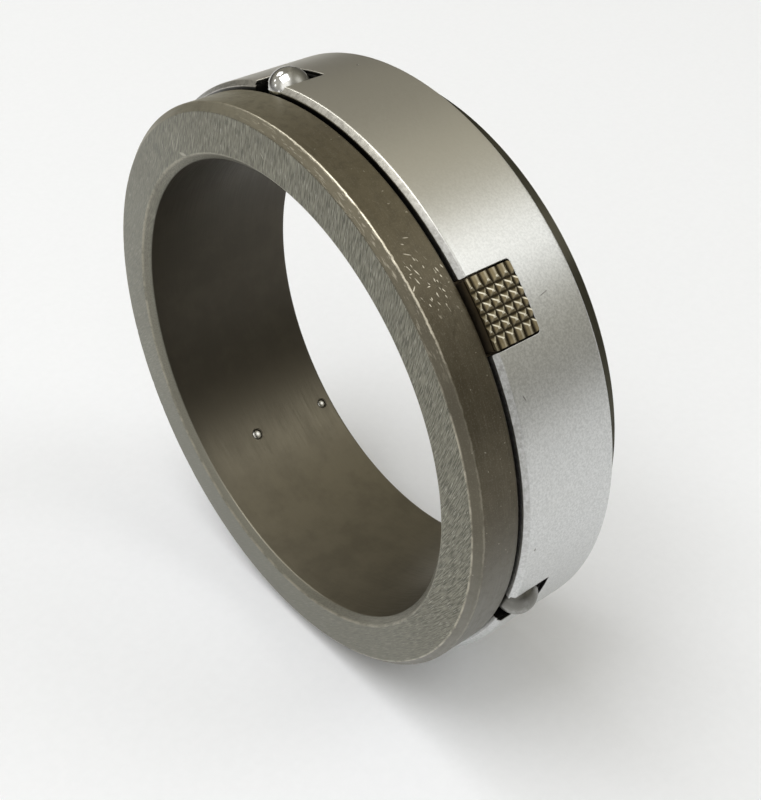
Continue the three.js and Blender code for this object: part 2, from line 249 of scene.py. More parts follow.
def loft(rows):
    """A closed solid through outlines that all have the same number of points, with its ends capped."""
    count = len(rows[0])
    last = (len(rows) - 1) * count
    faces = []
    for low in range(0, last, count):
        for i in range(count):
            j = (i + 1) % count
            faces.append((low + i, low + j, low + count + j, low + count + i))
    faces.append(tuple(range(count)))
    faces.append(tuple(range(last, last + count)))
    return new_object(np.concatenate(rows), faces)


def arc_points(start, end, radius):
    """(x, z) points round the axis, a degree or less apart. radius is a number or a function of the angle."""
    count = max(2, math.ceil(abs(end - start)))
    points = []
    for i in range(count + 1):
        angle = start + (end - start) * i / count
        reach = radius(angle) if callable(radius) else radius
        points.append((reach * math.sin(math.radians(angle)), reach * math.cos(math.radians(angle))))
    return points


def arc_block(angles, radii, along):
    """A block between two angles from the top, two radii and two places along the axis."""
    start, end = angles
    inner, outer = radii
    outline = arc_points(start, end, inner) + arc_points(end, start, outer)
    return loft([np.array([(x, y, z) for x, z in outline]) for y in along])


def turn_to(piece, angle):
    """Turns a mesh made at the top of the ring to an angle round it."""
    piece.data.transform(Matrix.Rotation(math.radians(TOP - angle), 4, "Y"))
    return piece


def copies_at(make, first_angle):
    return [turn_to(make(), angle) for angle in angles_from(first_angle)]


def combine(body, others, operation):
    """Joins, cuts or intersects body with the other solids, and removes them."""
    for other in others:
        modifier = body.modifiers.new("combine", "BOOLEAN")
        modifier.operation = operation
        modifier.solver = "MANIFOLD"
        modifier.object = other
        bpy.context.view_layer.update()
        result = bpy.data.meshes.new_from_object(body.evaluated_get(bpy.context.evaluated_depsgraph_get()))
        body.modifiers.clear()
        old = body.data
        body.data = result
        bpy.data.meshes.remove(old)
        bpy.data.objects.remove(other)
    return body


def merged(pieces):
    """Several separate solids as one object, for a single boolean."""
    first = pieces[0]
    solid = bmesh.new()
    for piece in pieces:
        solid.from_mesh(piece.data)
    solid.to_mesh(first.data)
    solid.free()
    for piece in pieces[1:]:
        bpy.data.objects.remove(piece)
    return first


def smooth(piece, angle=28):
    piece.data.shade_smooth()
    piece.data.set_sharp_from_angle(angle=math.radians(angle))
    return piece


def follow_section(piece, path, tolerance=0.004):
    """Gives the faces that still lie on the turned section the section's own exact normals."""
    mesh = piece.data
    following = np.roll(path, -1, axis=0)
    tangent = following - path
    tangent /= np.linalg.norm(tangent, axis=1)[:, None]
    tangent = tangent + np.roll(tangent, 1, axis=0)
    tangent /= np.linalg.norm(tangent, axis=1)[:, None]
    across = np.stack([tangent[:, 1], -tangent[:, 0]], axis=1)
    area = 0.5 * np.sum(path[:, 0] * following[:, 1] - following[:, 0] * path[:, 1])
    if area < 0:
        across = -across
    corners = np.zeros(len(mesh.vertices) * 3)
    mesh.vertices.foreach_get("co", corners)
    corners = corners.reshape(-1, 3) / MM
    radius = np.hypot(corners[:, 0], corners[:, 2])
    on_section = np.zeros(len(corners), bool)
    section_normal = np.zeros((len(corners), 2))
    for start in range(0, len(corners), 20000):
        part = slice(start, start + 20000)
        point = np.stack([radius[part], corners[part, 1]], axis=1)
        offset = point[:, None, :] - path[None, :, :]
        length = np.linalg.norm(following - path, axis=1)
        direction = (following - path) / length[:, None]
        t = np.clip(np.einsum("pks,ks->pk", offset, direction), 0, length[None, :])
        gap = np.linalg.norm(offset - t[..., None] * direction[None], axis=2)
        nearest = np.argmin(gap, axis=1)
        rows = np.arange(len(nearest))
        share = (t[rows, nearest] / length[nearest])[:, None]
        normal = across[nearest] * (1 - share) + np.roll(across, -1, axis=0)[nearest] * share
        section_normal[part] = normal / np.linalg.norm(normal, axis=1)[:, None]
        on_section[part] = gap[rows, nearest] < tolerance
    safe = np.maximum(radius, 1e-9)
    exact = np.stack([
        section_normal[:, 0] * corners[:, 0] / safe,
        section_normal[:, 1],
        section_normal[:, 0] * corners[:, 2] / safe,
    ], axis=1)
    loops = np.zeros(len(mesh.loops), np.int64)
    mesh.loops.foreach_get("vertex_index", loops)
    normals = np.zeros(len(mesh.loops) * 3)
    mesh.corner_normals.foreach_get("vector", normals)
    normals = normals.reshape(-1, 3)
    face_normals = np.zeros(len(mesh.polygons) * 3)
    mesh.polygons.foreach_get("normal", face_normals)
    totals = np.zeros(len(mesh.polygons), np.int64)
    mesh.polygons.foreach_get("loop_total", totals)
    per_loop = np.repeat(face_normals.reshape(-1, 3), totals, axis=0)
    close = on_section[loops] & (np.einsum("ij,ij->i", exact[loops], per_loop) > 0.93)
    normals[close] = exact[loops][close]
    mesh.normals_split_custom_set(normals.tolist())
    return piece


def cut_ring(path, cutters, worked=lambda vertices: vertices):
    """A turned ring from its section, with copies of each (cutter, angle of the first) taken away."""
    ring = lathe(path, RING_STEPS, worked)
    for make, first_angle in cutters:
        combine(ring, [merged(copies_at(make, first_angle))], "DIFFERENCE")
    return follow_section(smooth(ring), path)


def polar(angle, radius, y):
    return np.array([radius * math.cos(math.radians(angle)), y, radius * math.sin(math.radians(angle))])


# ---- Hub -------------------------------------------------------------------------------------

RING_STEPS = 1200
NICK_SEED = 7


def ball_ramp():
    """A cutter for the sloping groove in the hub that a ball rolls up."""
    slope = math.atan(BALL_LIFT / math.radians(BALL_CENTRE_RADIUS))
    reach = BALL_RADIUS / math.cos(slope) + CLEARANCE
    lowest = -TURN_BACK - 1.5

    def floor_at(angle):
        return BALL_CENTRE_RADIUS - reach + BALL_LIFT * max(-angle, lowest)

    run_out = (JOURNAL_RADIUS - floor_at(0)) / BALL_LIFT
    low_end = TURN_BACK + half_angle(BALL_RADIUS + 0.15, BALL_CENTRE_RADIUS - 1)
    half = BALL_RADIUS + 2 * CLEARANCE
    return arc_block((-run_out, low_end), (floor_at, JOURNAL_RADIUS + 1), (BALL_Y - half, BALL_Y + half))


def key_ramp():
    """A cutter for the sloping groove in the hub that a key's heel slides on."""
    heel = half_angle(HEEL_HALF_WIDTH, HEEL_RADIUS)
    lowest = -TURN_BACK - heel - 0.5

    def floor_at(angle):
        return HEEL_RADIUS - CLEARANCE + KEY_LIFT * max(-angle, lowest)

    angles = (-TURN_ON - heel - 0.8, TURN_BACK + heel + 0.8)
    return arc_block(angles, (floor_at, JOURNAL_RADIUS + 1), (HEEL_FRONT - 0.2, HEEL_BACK + 0.2))


def foot_relief():
    """A cutter for the room in the hub under a key's foot."""
    floor = FOOT_INNER_RADIUS - KEY_LIFT * TURN_BACK - 0.4
    foot = half_angle(FOOT_HALF_WIDTH, FOOT_INNER_RADIUS) + 0.8
    angles = (-TURN_ON - foot, TURN_BACK + foot)
    return arc_block(angles, (floor, JOURNAL_RADIUS + 1), (FLANGE_WIDTH + 0.1, FOOT_BACK + 0.3))


def coil_pocket():
    """A cutter for the room of a return spring, half in the hub and half in the sleeve."""
    radii = (COIL_CENTRE_RADIUS - COIL_REACH, COIL_CENTRE_RADIUS + COIL_REACH)
    angles = (-COIL_POCKET_HALF_ANGLE, COIL_POCKET_HALF_ANGLE)
    return arc_block(angles, radii, (COIL_Y - COIL_REACH, COIL_Y + COIL_REACH))


def pin_hole(radius, y, top, break_at=None):
    """A cutter for a pin's hole. Its mouth in the bore, or outside at break_at, has a small broken edge."""
    hole = radius + PIN_GAP
    edge = 0.16
    mouth = math.sqrt(BORE_RADIUS ** 2 - hole ** 2)
    path = [(hole + edge, BORE_RADIUS - 1), (hole + edge, mouth - 0.02), (hole, mouth + edge)]
    if break_at is None:
        path += [(hole, top)]
    else:
        path += [(hole, break_at - edge), (hole + edge, break_at + 0.02), (hole + edge, top)]
    return turned_bar(path, 32, y)


def rim_nicks():
    """Small knocks along the flange's front edges, and a cluster of larger ones beside the first key."""
    random = np.random.default_rng(NICK_SEED)
    nicks = []
    edges = [
        (FLANGE_RADIUS - RIM_CHAMFER, 0.05),
        (FLANGE_RADIUS - 0.05, RIM_CHAMFER),
        (FLANGE_RADIUS - 0.4, 0.4),
    ]
    for _ in range(90):
        radius, y = edges[random.integers(len(edges))]
        angle = random.uniform(0, 360)
        length = random.uniform(0.2, 0.6)
        nicks.append((angle, radius, y, length, random.uniform(0.15, 0.3), random.uniform(0.015, 0.05)))
    for _ in range(26):
        angle = random.normal(47.5, 4.5)
        y = random.uniform(0.7, 5.2)
        length = random.uniform(0.25, 0.75)
        width = random.uniform(0.16, 0.34)
        nicks.append((angle, FLANGE_RADIUS, y, length, width, random.uniform(0.02, 0.055)))
    nicks.append((46.5, FLANGE_RADIUS - 0.3, 0.5, 1.1, 0.55, 0.09))
    nicks.append((52.5, FLANGE_RADIUS - 0.3, 0.6, 0.8, 0.4, 0.07))
    return nicks


def nicked(vertices):
    """The corners moved into small bowls with a slightly raised lip, none in front of the flange's face."""
    random = np.random.default_rng(NICK_SEED + 1)
    moved = vertices.copy()
    for angle, radius, y, length, width, depth in rim_nicks():
        centre = polar(angle, radius, y)
        heart = polar(angle, FLANGE_RADIUS - 3, FLANGE_WIDTH / 2)
        inward = (heart - centre) / np.linalg.norm(heart - centre)
        around = polar(angle + 90, 1, 0)
        slant = random.uniform(-0.8, 0.8)
        long_way = around * math.cos(slant) + np.cross(inward, around) * math.sin(slant)
        offset = vertices - centre
        along = offset @ long_way
        across = np.sqrt(np.maximum(np.sum(offset ** 2, axis=1) - along ** 2, 0))
        bowl = np.exp(-((along / length) ** 2 + (across / width) ** 2) * 2)
        lip = np.exp(-((along / length) ** 2 + (across / (1.9 * width)) ** 2) * 2) - bowl
        moved += np.outer(depth * (bowl - 0.25 * lip), inward)
    moved[:, 1] = np.maximum(moved[:, 1], 0)
    return moved


def hub_flange():
    shoulder = REAR_RING_FRONT - 0.15
    path = rounded_path([
        (BORE_RADIUS + BORE_CHAMFER, 0, 0.4),
        (FLANGE_RADIUS - RIM_CHAMFER, 0, 0.3),
        (FLANGE_RADIUS, RIM_CHAMFER, 0.3),
        (FLANGE_RADIUS, FLANGE_WIDTH, 0.25),
        (JOURNAL_RADIUS, FLANGE_WIDTH, 0),
        (JOURNAL_RADIUS, shoulder, 0.1),
        (TAIL_RADIUS, shoulder, 0),
        (TAIL_RADIUS, TOTAL_WIDTH, 0.25),
        (BORE_RADIUS, TOTAL_WIDTH, 0.35),
        (BORE_RADIUS, BORE_CHAMFER, 0.4),
    ], lambda radius, y: 0.22 if radius > 35 and y < 5.9 else 1.1)
    return cut_ring(path, [
        (ball_ramp, BALL_ANGLE),
        (key_ramp, KEY_ANGLE),
        (foot_relief, KEY_ANGLE),
        (coil_pocket, SPRING_ANGLE),
        (lambda: pin_hole(STOP_PIN_RADIUS, STOP_PIN_Y, JOURNAL_RADIUS + 1), PIN_ANGLE),
        (lambda: pin_hole(RING_PIN_RADIUS, RING_PIN_Y, TAIL_RADIUS + 1), PIN_ANGLE),
    ], nicked)


# ---- Sleeve ----------------------------------------------------------------------------------

def notch_outline(half_width, back, corner, front_break, grow):
    """Outline of a notch open at the sleeve's front, wider all round by grow, with flared front corners."""
    half = half_width + grow
    end = back + grow
    corner = corner + grow
    front = SLEEVE_FRONT
    side = [(half + front_break, front - 1.5), (half + front_break, front - 0.02)]
    for k in range(1, 6):
        t = k / 5 * math.pi / 2
        side.append((half + front_break * (1 - math.sin(t)), front + front_break * (1 - math.cos(t))))
    straight = np.linspace(front + front_break, end - corner, 6)[1:-1]
    side += [(half, y) for y in straight]
    for k in range(9):
        t = k / 8 * math.pi / 2
        side.append((half - corner * (1 - math.cos(t)), end - corner * (1 - math.sin(t))))
    flat = np.linspace(half - corner, -(half - corner), 10)[1:-1]
    return np.array(side + [(x, end) for x in flat] + [(-x, y) for x, y in reversed(side)])


def notch(half_width, back, corner, low, edge=EDGE_BREAK, front_break=0.12):
    """A cutter for a notch in the sleeve's wall from the radius low outwards, its outer edge rounded."""
    levels = [(low, 0.0)]
    for k in range(6):
        t = k / 5 * math.pi / 2
        levels.append((SLEEVE_RADIUS - edge * (1 - math.sin(t)), edge * (1 - math.cos(t))))
    levels += [(SLEEVE_RADIUS + 0.02, edge * 1.6), (SLEEVE_RADIUS + 1.0, edge * 1.6)]
    rows = []
    for radius, grow in levels:
        outline = notch_outline(half_width, back, corner, front_break, grow)
        height = np.sqrt(radius ** 2 - outline[:, 0] ** 2)
        rows.append(np.stack([outline[:, 0], outline[:, 1], height], axis=1))
    return loft(rows)


def ball_slot():
    return notch(SLOT_HALF_WIDTH, SLOT_BACK, 0.25, SLEEVE_BORE_RADIUS - 1.2)


def ball_recess():
    return notch(SLOT_HALF_WIDTH + SLOT_RECESS, SLOT_BACK + SLOT_RECESS, 0.3, SLOT_LIP_RADIUS)


def key_notch():
    width = KEY_HALF_WIDTH + KEY_WINDOW_GAP
    return notch(width, KEY_BACK + KEY_WINDOW_GAP, 0.35, SLEEVE_BORE_RADIUS - 1.2)


def ball_pocket():
    """A cutter for the room that a ball moves in, with a dome that leaves the slot's lips narrower."""
    radius = BALL_RADIUS + CLEARANCE
    highest = BALL_CENTRE_RADIUS + BALL_LIFT * TURN_ON
    path = [(radius, SLEEVE_BORE_RADIUS - 1.1), (radius, highest)]
    for k in range(1, 16):
        t = k / 16 * math.pi / 2
        path.append((radius * math.cos(t), highest + radius * math.sin(t)))
    return turned_bar(path, 64, BALL_Y)


def foot_chamber():
    """A cutter for the room in the sleeve that a key's foot and leaf spring lie in."""
    foot = half_angle(FOOT_HALF_WIDTH, FOOT_INNER_RADIUS) + 0.4
    radii = (SLEEVE_BORE_RADIUS - 1, FOOT_ROOF_RADIUS)
    return arc_block((-foot, foot), radii, (SLEEVE_FRONT - 1, FOOT_BACK + 0.3))


def stop_slot():
    """A cutter for the short slot in the sleeve that a stop pin moves in."""
    pin_angle = half_angle(STOP_PIN_RADIUS, JOURNAL_RADIUS) + 0.25
    half = STOP_PIN_RADIUS + 0.2
    angles = (-TURN_BACK - pin_angle, TURN_ON + pin_angle)
    radii = (SLEEVE_BORE_RADIUS - 1, STOP_PIN_TOP + 0.3)
    return arc_block(angles, radii, (STOP_PIN_Y - half, STOP_PIN_Y + half))


def ball_sleeve():
    path = rounded_path([
        (SLEEVE_BORE_RADIUS, SLEEVE_FRONT, 0.2),
        (SLEEVE_RADIUS - SLEEVE_FRONT_CHAMFER, SLEEVE_FRONT, 0.1),
        (SLEEVE_RADIUS, SLEEVE_FRONT + SLEEVE_FRONT_CHAMFER, 0.3),
        (SLEEVE_RADIUS, SLEEVE_BACK - SLEEVE_BACK_CHAMFER, 0.12),
        (SLEEVE_RADIUS - SLEEVE_BACK_CHAMFER, SLEEVE_BACK, 0.1),
        (SLEEVE_BORE_RADIUS, SLEEVE_BACK, 0.2),
    ], lambda radius, y: 0.6 if radius > SLEEVE_BORE_RADIUS + 0.1 else 2.5)
    return cut_ring(path, [
        (ball_slot, BALL_ANGLE),
        (ball_recess, BALL_ANGLE),
        (ball_pocket, BALL_ANGLE),
        (key_notch, KEY_ANGLE),
        (foot_chamber, KEY_ANGLE),
        (stop_slot, PIN_ANGLE),
        (coil_pocket, SPRING_ANGLE),
    ])


def rear_ring():
    path = rounded_path([
        (REAR_RING_BORE_RADIUS, REAR_RING_FRONT, 0.1),
        (REAR_RING_RADIUS, REAR_RING_FRONT, 0.15),
        (REAR_RING_RADIUS, TOTAL_WIDTH - REAR_RING_CHAMFER, 0.08),
        (REAR_RING_RADIUS - REAR_RING_CHAMFER, TOTAL_WIDTH, 0.08),
        (REAR_RING_BORE_RADIUS, TOTAL_WIDTH, 0.2),
    ], lambda radius, y: 0.5)

    def hole():
        return pin_hole(RING_PIN_RADIUS, RING_PIN_Y, REAR_RING_RADIUS + 1, REAR_RING_RADIUS)

    return cut_ring(path, [(hole, PIN_ANGLE)])


# ---- Balls, keys, pins and springs -----------------------------------------------------------

def ball():
    """A bearing ball: a cube of small squares drawn out to a sphere, with the faint flats of a used one."""
    cells = 28
    random = np.random.default_rng(11)
    solid = bmesh.new()
    bmesh.ops.create_cube(solid, size=2.0)
    bmesh.ops.subdivide_edges(solid, edges=solid.edges, cuts=cells - 1, use_grid_fill=True)
    marks = [Vector(random.normal(size=3)).normalized() for _ in range(9)]
    for vertex in solid.verts:
        spread = Vector([math.tan(c * math.pi / 4) for c in vertex.co])
        direction = spread.normalized()
        wear = sum(math.exp(-((direction - mark).length / 0.09) ** 2) for mark in marks)
        vertex.co = direction * (BALL_RADIUS - BALL_FACETS - 0.004 * wear) * MM
        vertex.co += Vector((0, BALL_Y, BALL_CENTRE_RADIUS)) * MM
    mesh = bpy.data.meshes.new("ball")
    solid.to_mesh(mesh)
    solid.free()
    mesh.shade_smooth()
    return link(mesh)


def groove(distance):
    """Depth share of a row of V grooves at a distance from the row's middle."""
    half = KNURL_PITCH / 2
    middle = (KNURL_GROOVES - 1) / 2
    nearest = np.clip(np.round(distance / KNURL_PITCH), -middle, middle) * KNURL_PITCH
    return np.clip(1 - np.abs(distance - nearest) / half, 0, 1)


def knurled_block():
    """A block whose top carries the square knurl: V grooves both ways, with slightly blunt pyramid tips."""
    fine = 0.05
    xs = np.arange(-KEY_HALF_WIDTH - 0.3, KEY_HALF_WIDTH + 0.3 + fine / 2, fine)
    ys = np.arange(KEY_FRONT - 0.3, KEY_BACK + 0.3 + fine / 2, fine)
    x, y = np.meshgrid(xs, ys, indexing="ij")
    around = KEY_TOP_RADIUS * np.arcsin(x / KEY_TOP_RADIUS)
    depth = np.maximum(groove(around), groove(y - KNURL_Y))
    blunt = 0.035
    depth = np.sqrt(depth ** 2 + blunt ** 2) - blunt
    radius = KEY_TOP_RADIUS - KNURL_DEPTH * depth
    top = np.stack([x, y, np.sqrt(radius ** 2 - x ** 2)], axis=-1)
    bottom = np.stack([x, y, np.full_like(x, FOOT_INNER_RADIUS)], axis=-1)
    rows, columns = x.shape
    here = np.arange(rows * columns).reshape(rows, columns)
    below = here + rows * columns
    quads = [
        np.stack([here[:-1, :-1], here[1:, :-1], here[1:, 1:], here[:-1, 1:]], -1),
        np.stack([below[:-1, :-1], below[:-1, 1:], below[1:, 1:], below[1:, :-1]], -1),
    ]
    for edge_top, edge_low in (
        (here[0, :], below[0, :]),
        (here[:, -1], below[:, -1]),
        (here[-1, ::-1], below[-1, ::-1]),
        (here[::-1, 0], below[::-1, 0]),
    ):
        quads.append(np.stack([edge_top[:-1], edge_top[1:], edge_low[1:], edge_low[:-1]], -1))
    faces = np.concatenate([q.reshape(-1, 4) for q in quads]).tolist()
    return new_object(np.concatenate([top.reshape(-1, 3), bottom.reshape(-1, 3)]), faces)


def rounded_rectangle(low_x, high_x, low_y, high_y, radius, steps=6):
    corners = [
        (high_x - radius, high_y - radius, 0),
        (low_x + radius, high_y - radius, 90),
        (low_x + radius, low_y + radius, 180),
        (high_x - radius, low_y + radius, 270),
    ]
    return np.array([
        (x + radius * math.cos(math.radians(start + 90 * k / steps)),
         y + radius * math.sin(math.radians(start + 90 * k / steps)))
        for x, y, start in corners
        for k in range(steps + 1)
    ])


def grip_key():
    """A knurled key with the foot that holds it in the sleeve and the heel that rides on its ramp."""
    outline = rounded_rectangle(-KEY_HALF_WIDTH, KEY_HALF_WIDTH, KEY_FRONT, KEY_BACK, 0.3)
    rows = [
        np.column_stack([outline, np.full(len(outline), height)])
        for height in (FOOT_INNER_RADIUS - 1, KEY_TOP_RADIUS + 1)
    ]
    foot = half_angle(FOOT_HALF_WIDTH, FOOT_INNER_RADIUS)
    heel = half_angle(HEEL_HALF_WIDTH, HEEL_RADIUS)
    key = combine(knurled_block(), [loft(rows)], "INTERSECT")
    foot_block = arc_block((-foot, foot), (FOOT_INNER_RADIUS, FOOT_OUTER_RADIUS), (KEY_FRONT, FOOT_BACK))
    heel_radii = (lambda angle: HEEL_RADIUS - KEY_LIFT * angle, FOOT_INNER_RADIUS + 0.3)
    heel_block = arc_block((-heel, heel), heel_radii, (HEEL_FRONT, HEEL_BACK))
    return smooth(combine(key, [foot_block, heel_block], "UNION"), 40)


def pin(radius, y, top):
    """A dowel pin with a domed inner end and a chamfered outer end."""
    dome = 0.22
    path = [(0.02, PIN_BOTTOM)]
    for k in range(1, 9):
        t = k / 8 * math.pi / 2
        path.append((radius * math.sin(t), PIN_BOTTOM + dome * (1 - math.cos(t))))
    path += [(radius, top - 0.15), (radius - 0.15, top), (0.02, top)]
    return smooth(turned_bar(path, 40, y))


def stop_pin():
    return pin(STOP_PIN_RADIUS, STOP_PIN_Y, STOP_PIN_TOP)


def ring_pin():
    return pin(RING_PIN_RADIUS, RING_PIN_Y, RING_PIN_TOP)


def return_spring():
    """A coil spring bent to the ring's own curve, its wire cut square at both ends."""
    sides = 12
    steps = COIL_TURNS * 28
    t = np.linspace(0, 1, steps + 1)
    angle = np.radians(COIL_HALF_ANGLE * (2 * t - 1))
    phase = 2 * np.pi * COIL_TURNS * t
    radius = COIL_CENTRE_RADIUS + COIL_RADIUS * np.cos(phase)
    line = np.stack([
        radius * np.sin(angle),
        COIL_Y + COIL_RADIUS * np.sin(phase),
        radius * np.cos(angle),
    ], axis=1)
    tangent = np.gradient(line, axis=0)
    tangent /= np.linalg.norm(tangent, axis=1)[:, None]
    middle = np.stack([
        COIL_CENTRE_RADIUS * np.sin(angle),
        np.full_like(angle, COIL_Y),
        COIL_CENTRE_RADIUS * np.cos(angle),
    ], axis=1)
    outward = line - middle
    outward -= np.sum(outward * tangent, axis=1)[:, None] * tangent
    outward /= np.linalg.norm(outward, axis=1)[:, None]
    side = np.cross(tangent, outward)
    around = np.linspace(0, 2 * np.pi, sides, endpoint=False)
    rows = []
    for centre, a, b in zip(line, outward, side):
        rows.append(centre + COIL_WIRE_RADIUS * (np.outer(np.cos(around), a) + np.outer(np.sin(around), b)))
    return smooth(loft(rows))


def key_spring():
    """A bowed leaf between the chamber's roof and the back of the key's foot, rounded along its edges."""
    length, width, thickness = 9.0, 0.8, 0.15
    ends = FOOT_ROOF_RADIUS - 0.3
    middle = FOOT_OUTER_RADIUS + thickness + 0.15
    half = length / 2
    end_height = math.sqrt(ends ** 2 - half ** 2)
    front = KEY_BACK + 0.35
    section = rounded_rectangle(front, front + width, -thickness, 0, thickness * 0.45, 3)
    rows = []
    for x in np.linspace(-half, half, 25):
        height = middle + (end_height - middle) * (x / half) ** 2
        rows.append(np.column_stack([np.full(len(section), x), section[:, 0], section[:, 1] + height]))
    return smooth(loft(rows))


# ---- Materials -------------------------------------------------------------------------------

class Graph:
    """A shader's nodes, with a short call for each kind used here."""

    def __init__(self, tree):
        self.tree = tree
        tree.nodes.clear()

    def put(self, value, socket):
        if isinstance(value, bpy.types.NodeSocket):
            self.tree.links.new(value, socket)
        elif isinstance(value, (tuple, list)) and len(value) == 3 and socket.type == "RGBA":
            socket.default_value = (*value, 1)
        else:
            socket.default_value = value

    def math(self, operation, a, b=0.0):
        node = self.tree.nodes.new("ShaderNodeMath")
        node.operation = operation
        self.put(a, node.inputs[0])
        self.put(b, node.inputs[1])
        return node.outputs[0]

    def wrap(self, value, low, high):
        node = self.tree.nodes.new("ShaderNodeMath")
        node.operation = "WRAP"
        for item, socket in zip((value, high, low), node.inputs):
            self.put(item, socket)
        return node.outputs[0]

    def square(self, a):
        return self.math("MULTIPLY", a, a)

    def size(self, a):
        return self.math("ABSOLUTE", a)

    def chain(self, operation, values):
        result = values[0]
        for value in values[1:]:
            result = self.math(operation, result, value)
        return result

    def add(self, *terms):
        return self.chain("ADD", terms)

    def times(self, *factors):
        return self.chain("MULTIPLY", factors)

    def most(self, *values):
        return self.chain("MAXIMUM", values)

    def vector(self, operation, a, b):
        node = self.tree.nodes.new("ShaderNodeVectorMath")
        node.operation = operation
        self.put(a, node.inputs[0])
        self.put(b, node.inputs[1])
        return node.outputs[0]

    def parts(self, vector):
        node = self.tree.nodes.new("ShaderNodeSeparateXYZ")
        self.put(vector, node.inputs[0])
        return node.outputs[0], node.outputs[1], node.outputs[2]

    def join(self, x, y, z):
        node = self.tree.nodes.new("ShaderNodeCombineXYZ")
        for value, socket in zip((x, y, z), node.inputs):
            self.put(value, socket)
        return node.outputs[0]

    def step(self, value, low, high):
        """0 below low and 1 above high, smooth between them. low may be the larger."""
        node = self.tree.nodes.new("ShaderNodeMapRange")
        node.interpolation_type = "SMOOTHSTEP"
        turned = low > high
        self.put(value, node.inputs["Value"])
        node.inputs["From Min"].default_value = min(low, high)
        node.inputs["From Max"].default_value = max(low, high)
        node.inputs["To Min"].default_value = 1.0 if turned else 0.0
        node.inputs["To Max"].default_value = 0.0 if turned else 1.0
        return node.outputs["Result"]

    def noise(self, per_mm, detail=2.0, roughness=0.5, vector=None):
        """Noise about a mean of 0.5, with per_mm features to the millimetre."""
        node = self.tree.nodes.new("ShaderNodeTexNoise")
        self.put(self.position if vector is None else vector, node.inputs["Vector"])
        node.inputs["Scale"].default_value = per_mm
        node.inputs["Detail"].default_value = detail
        node.inputs["Roughness"].default_value = roughness
        return node.outputs["Fac"]

    def mix(self, factor, a, b):
        node = self.tree.nodes.new("ShaderNodeMix")
        node.data_type = "RGBA"
        self.put(factor, node.inputs["Factor"])
        self.put(a, node.inputs[6])
        self.put(b, node.inputs[7])
        return node.outputs[2]

    def coat(self, color, over, *masks):
        """The color with another laid over it, as far as the product of the masks says."""
        return self.mix(self.times(*masks), color, over)

    def blend(self, factor, a, b):
        """A number between a and b."""
        node = self.tree.nodes.new("ShaderNodeMix")
        self.put(factor, node.inputs["Factor"])
        self.put(a, node.inputs[2])
        self.put(b, node.inputs[3])
        return node.outputs[0]

    def dot(self, a, b):
        node = self.tree.nodes.new("ShaderNodeVectorMath")
        node.operation = "DOT_PRODUCT"
        self.put(a, node.inputs[0])
        self.put(b, node.inputs[1])
        return node.outputs["Value"]


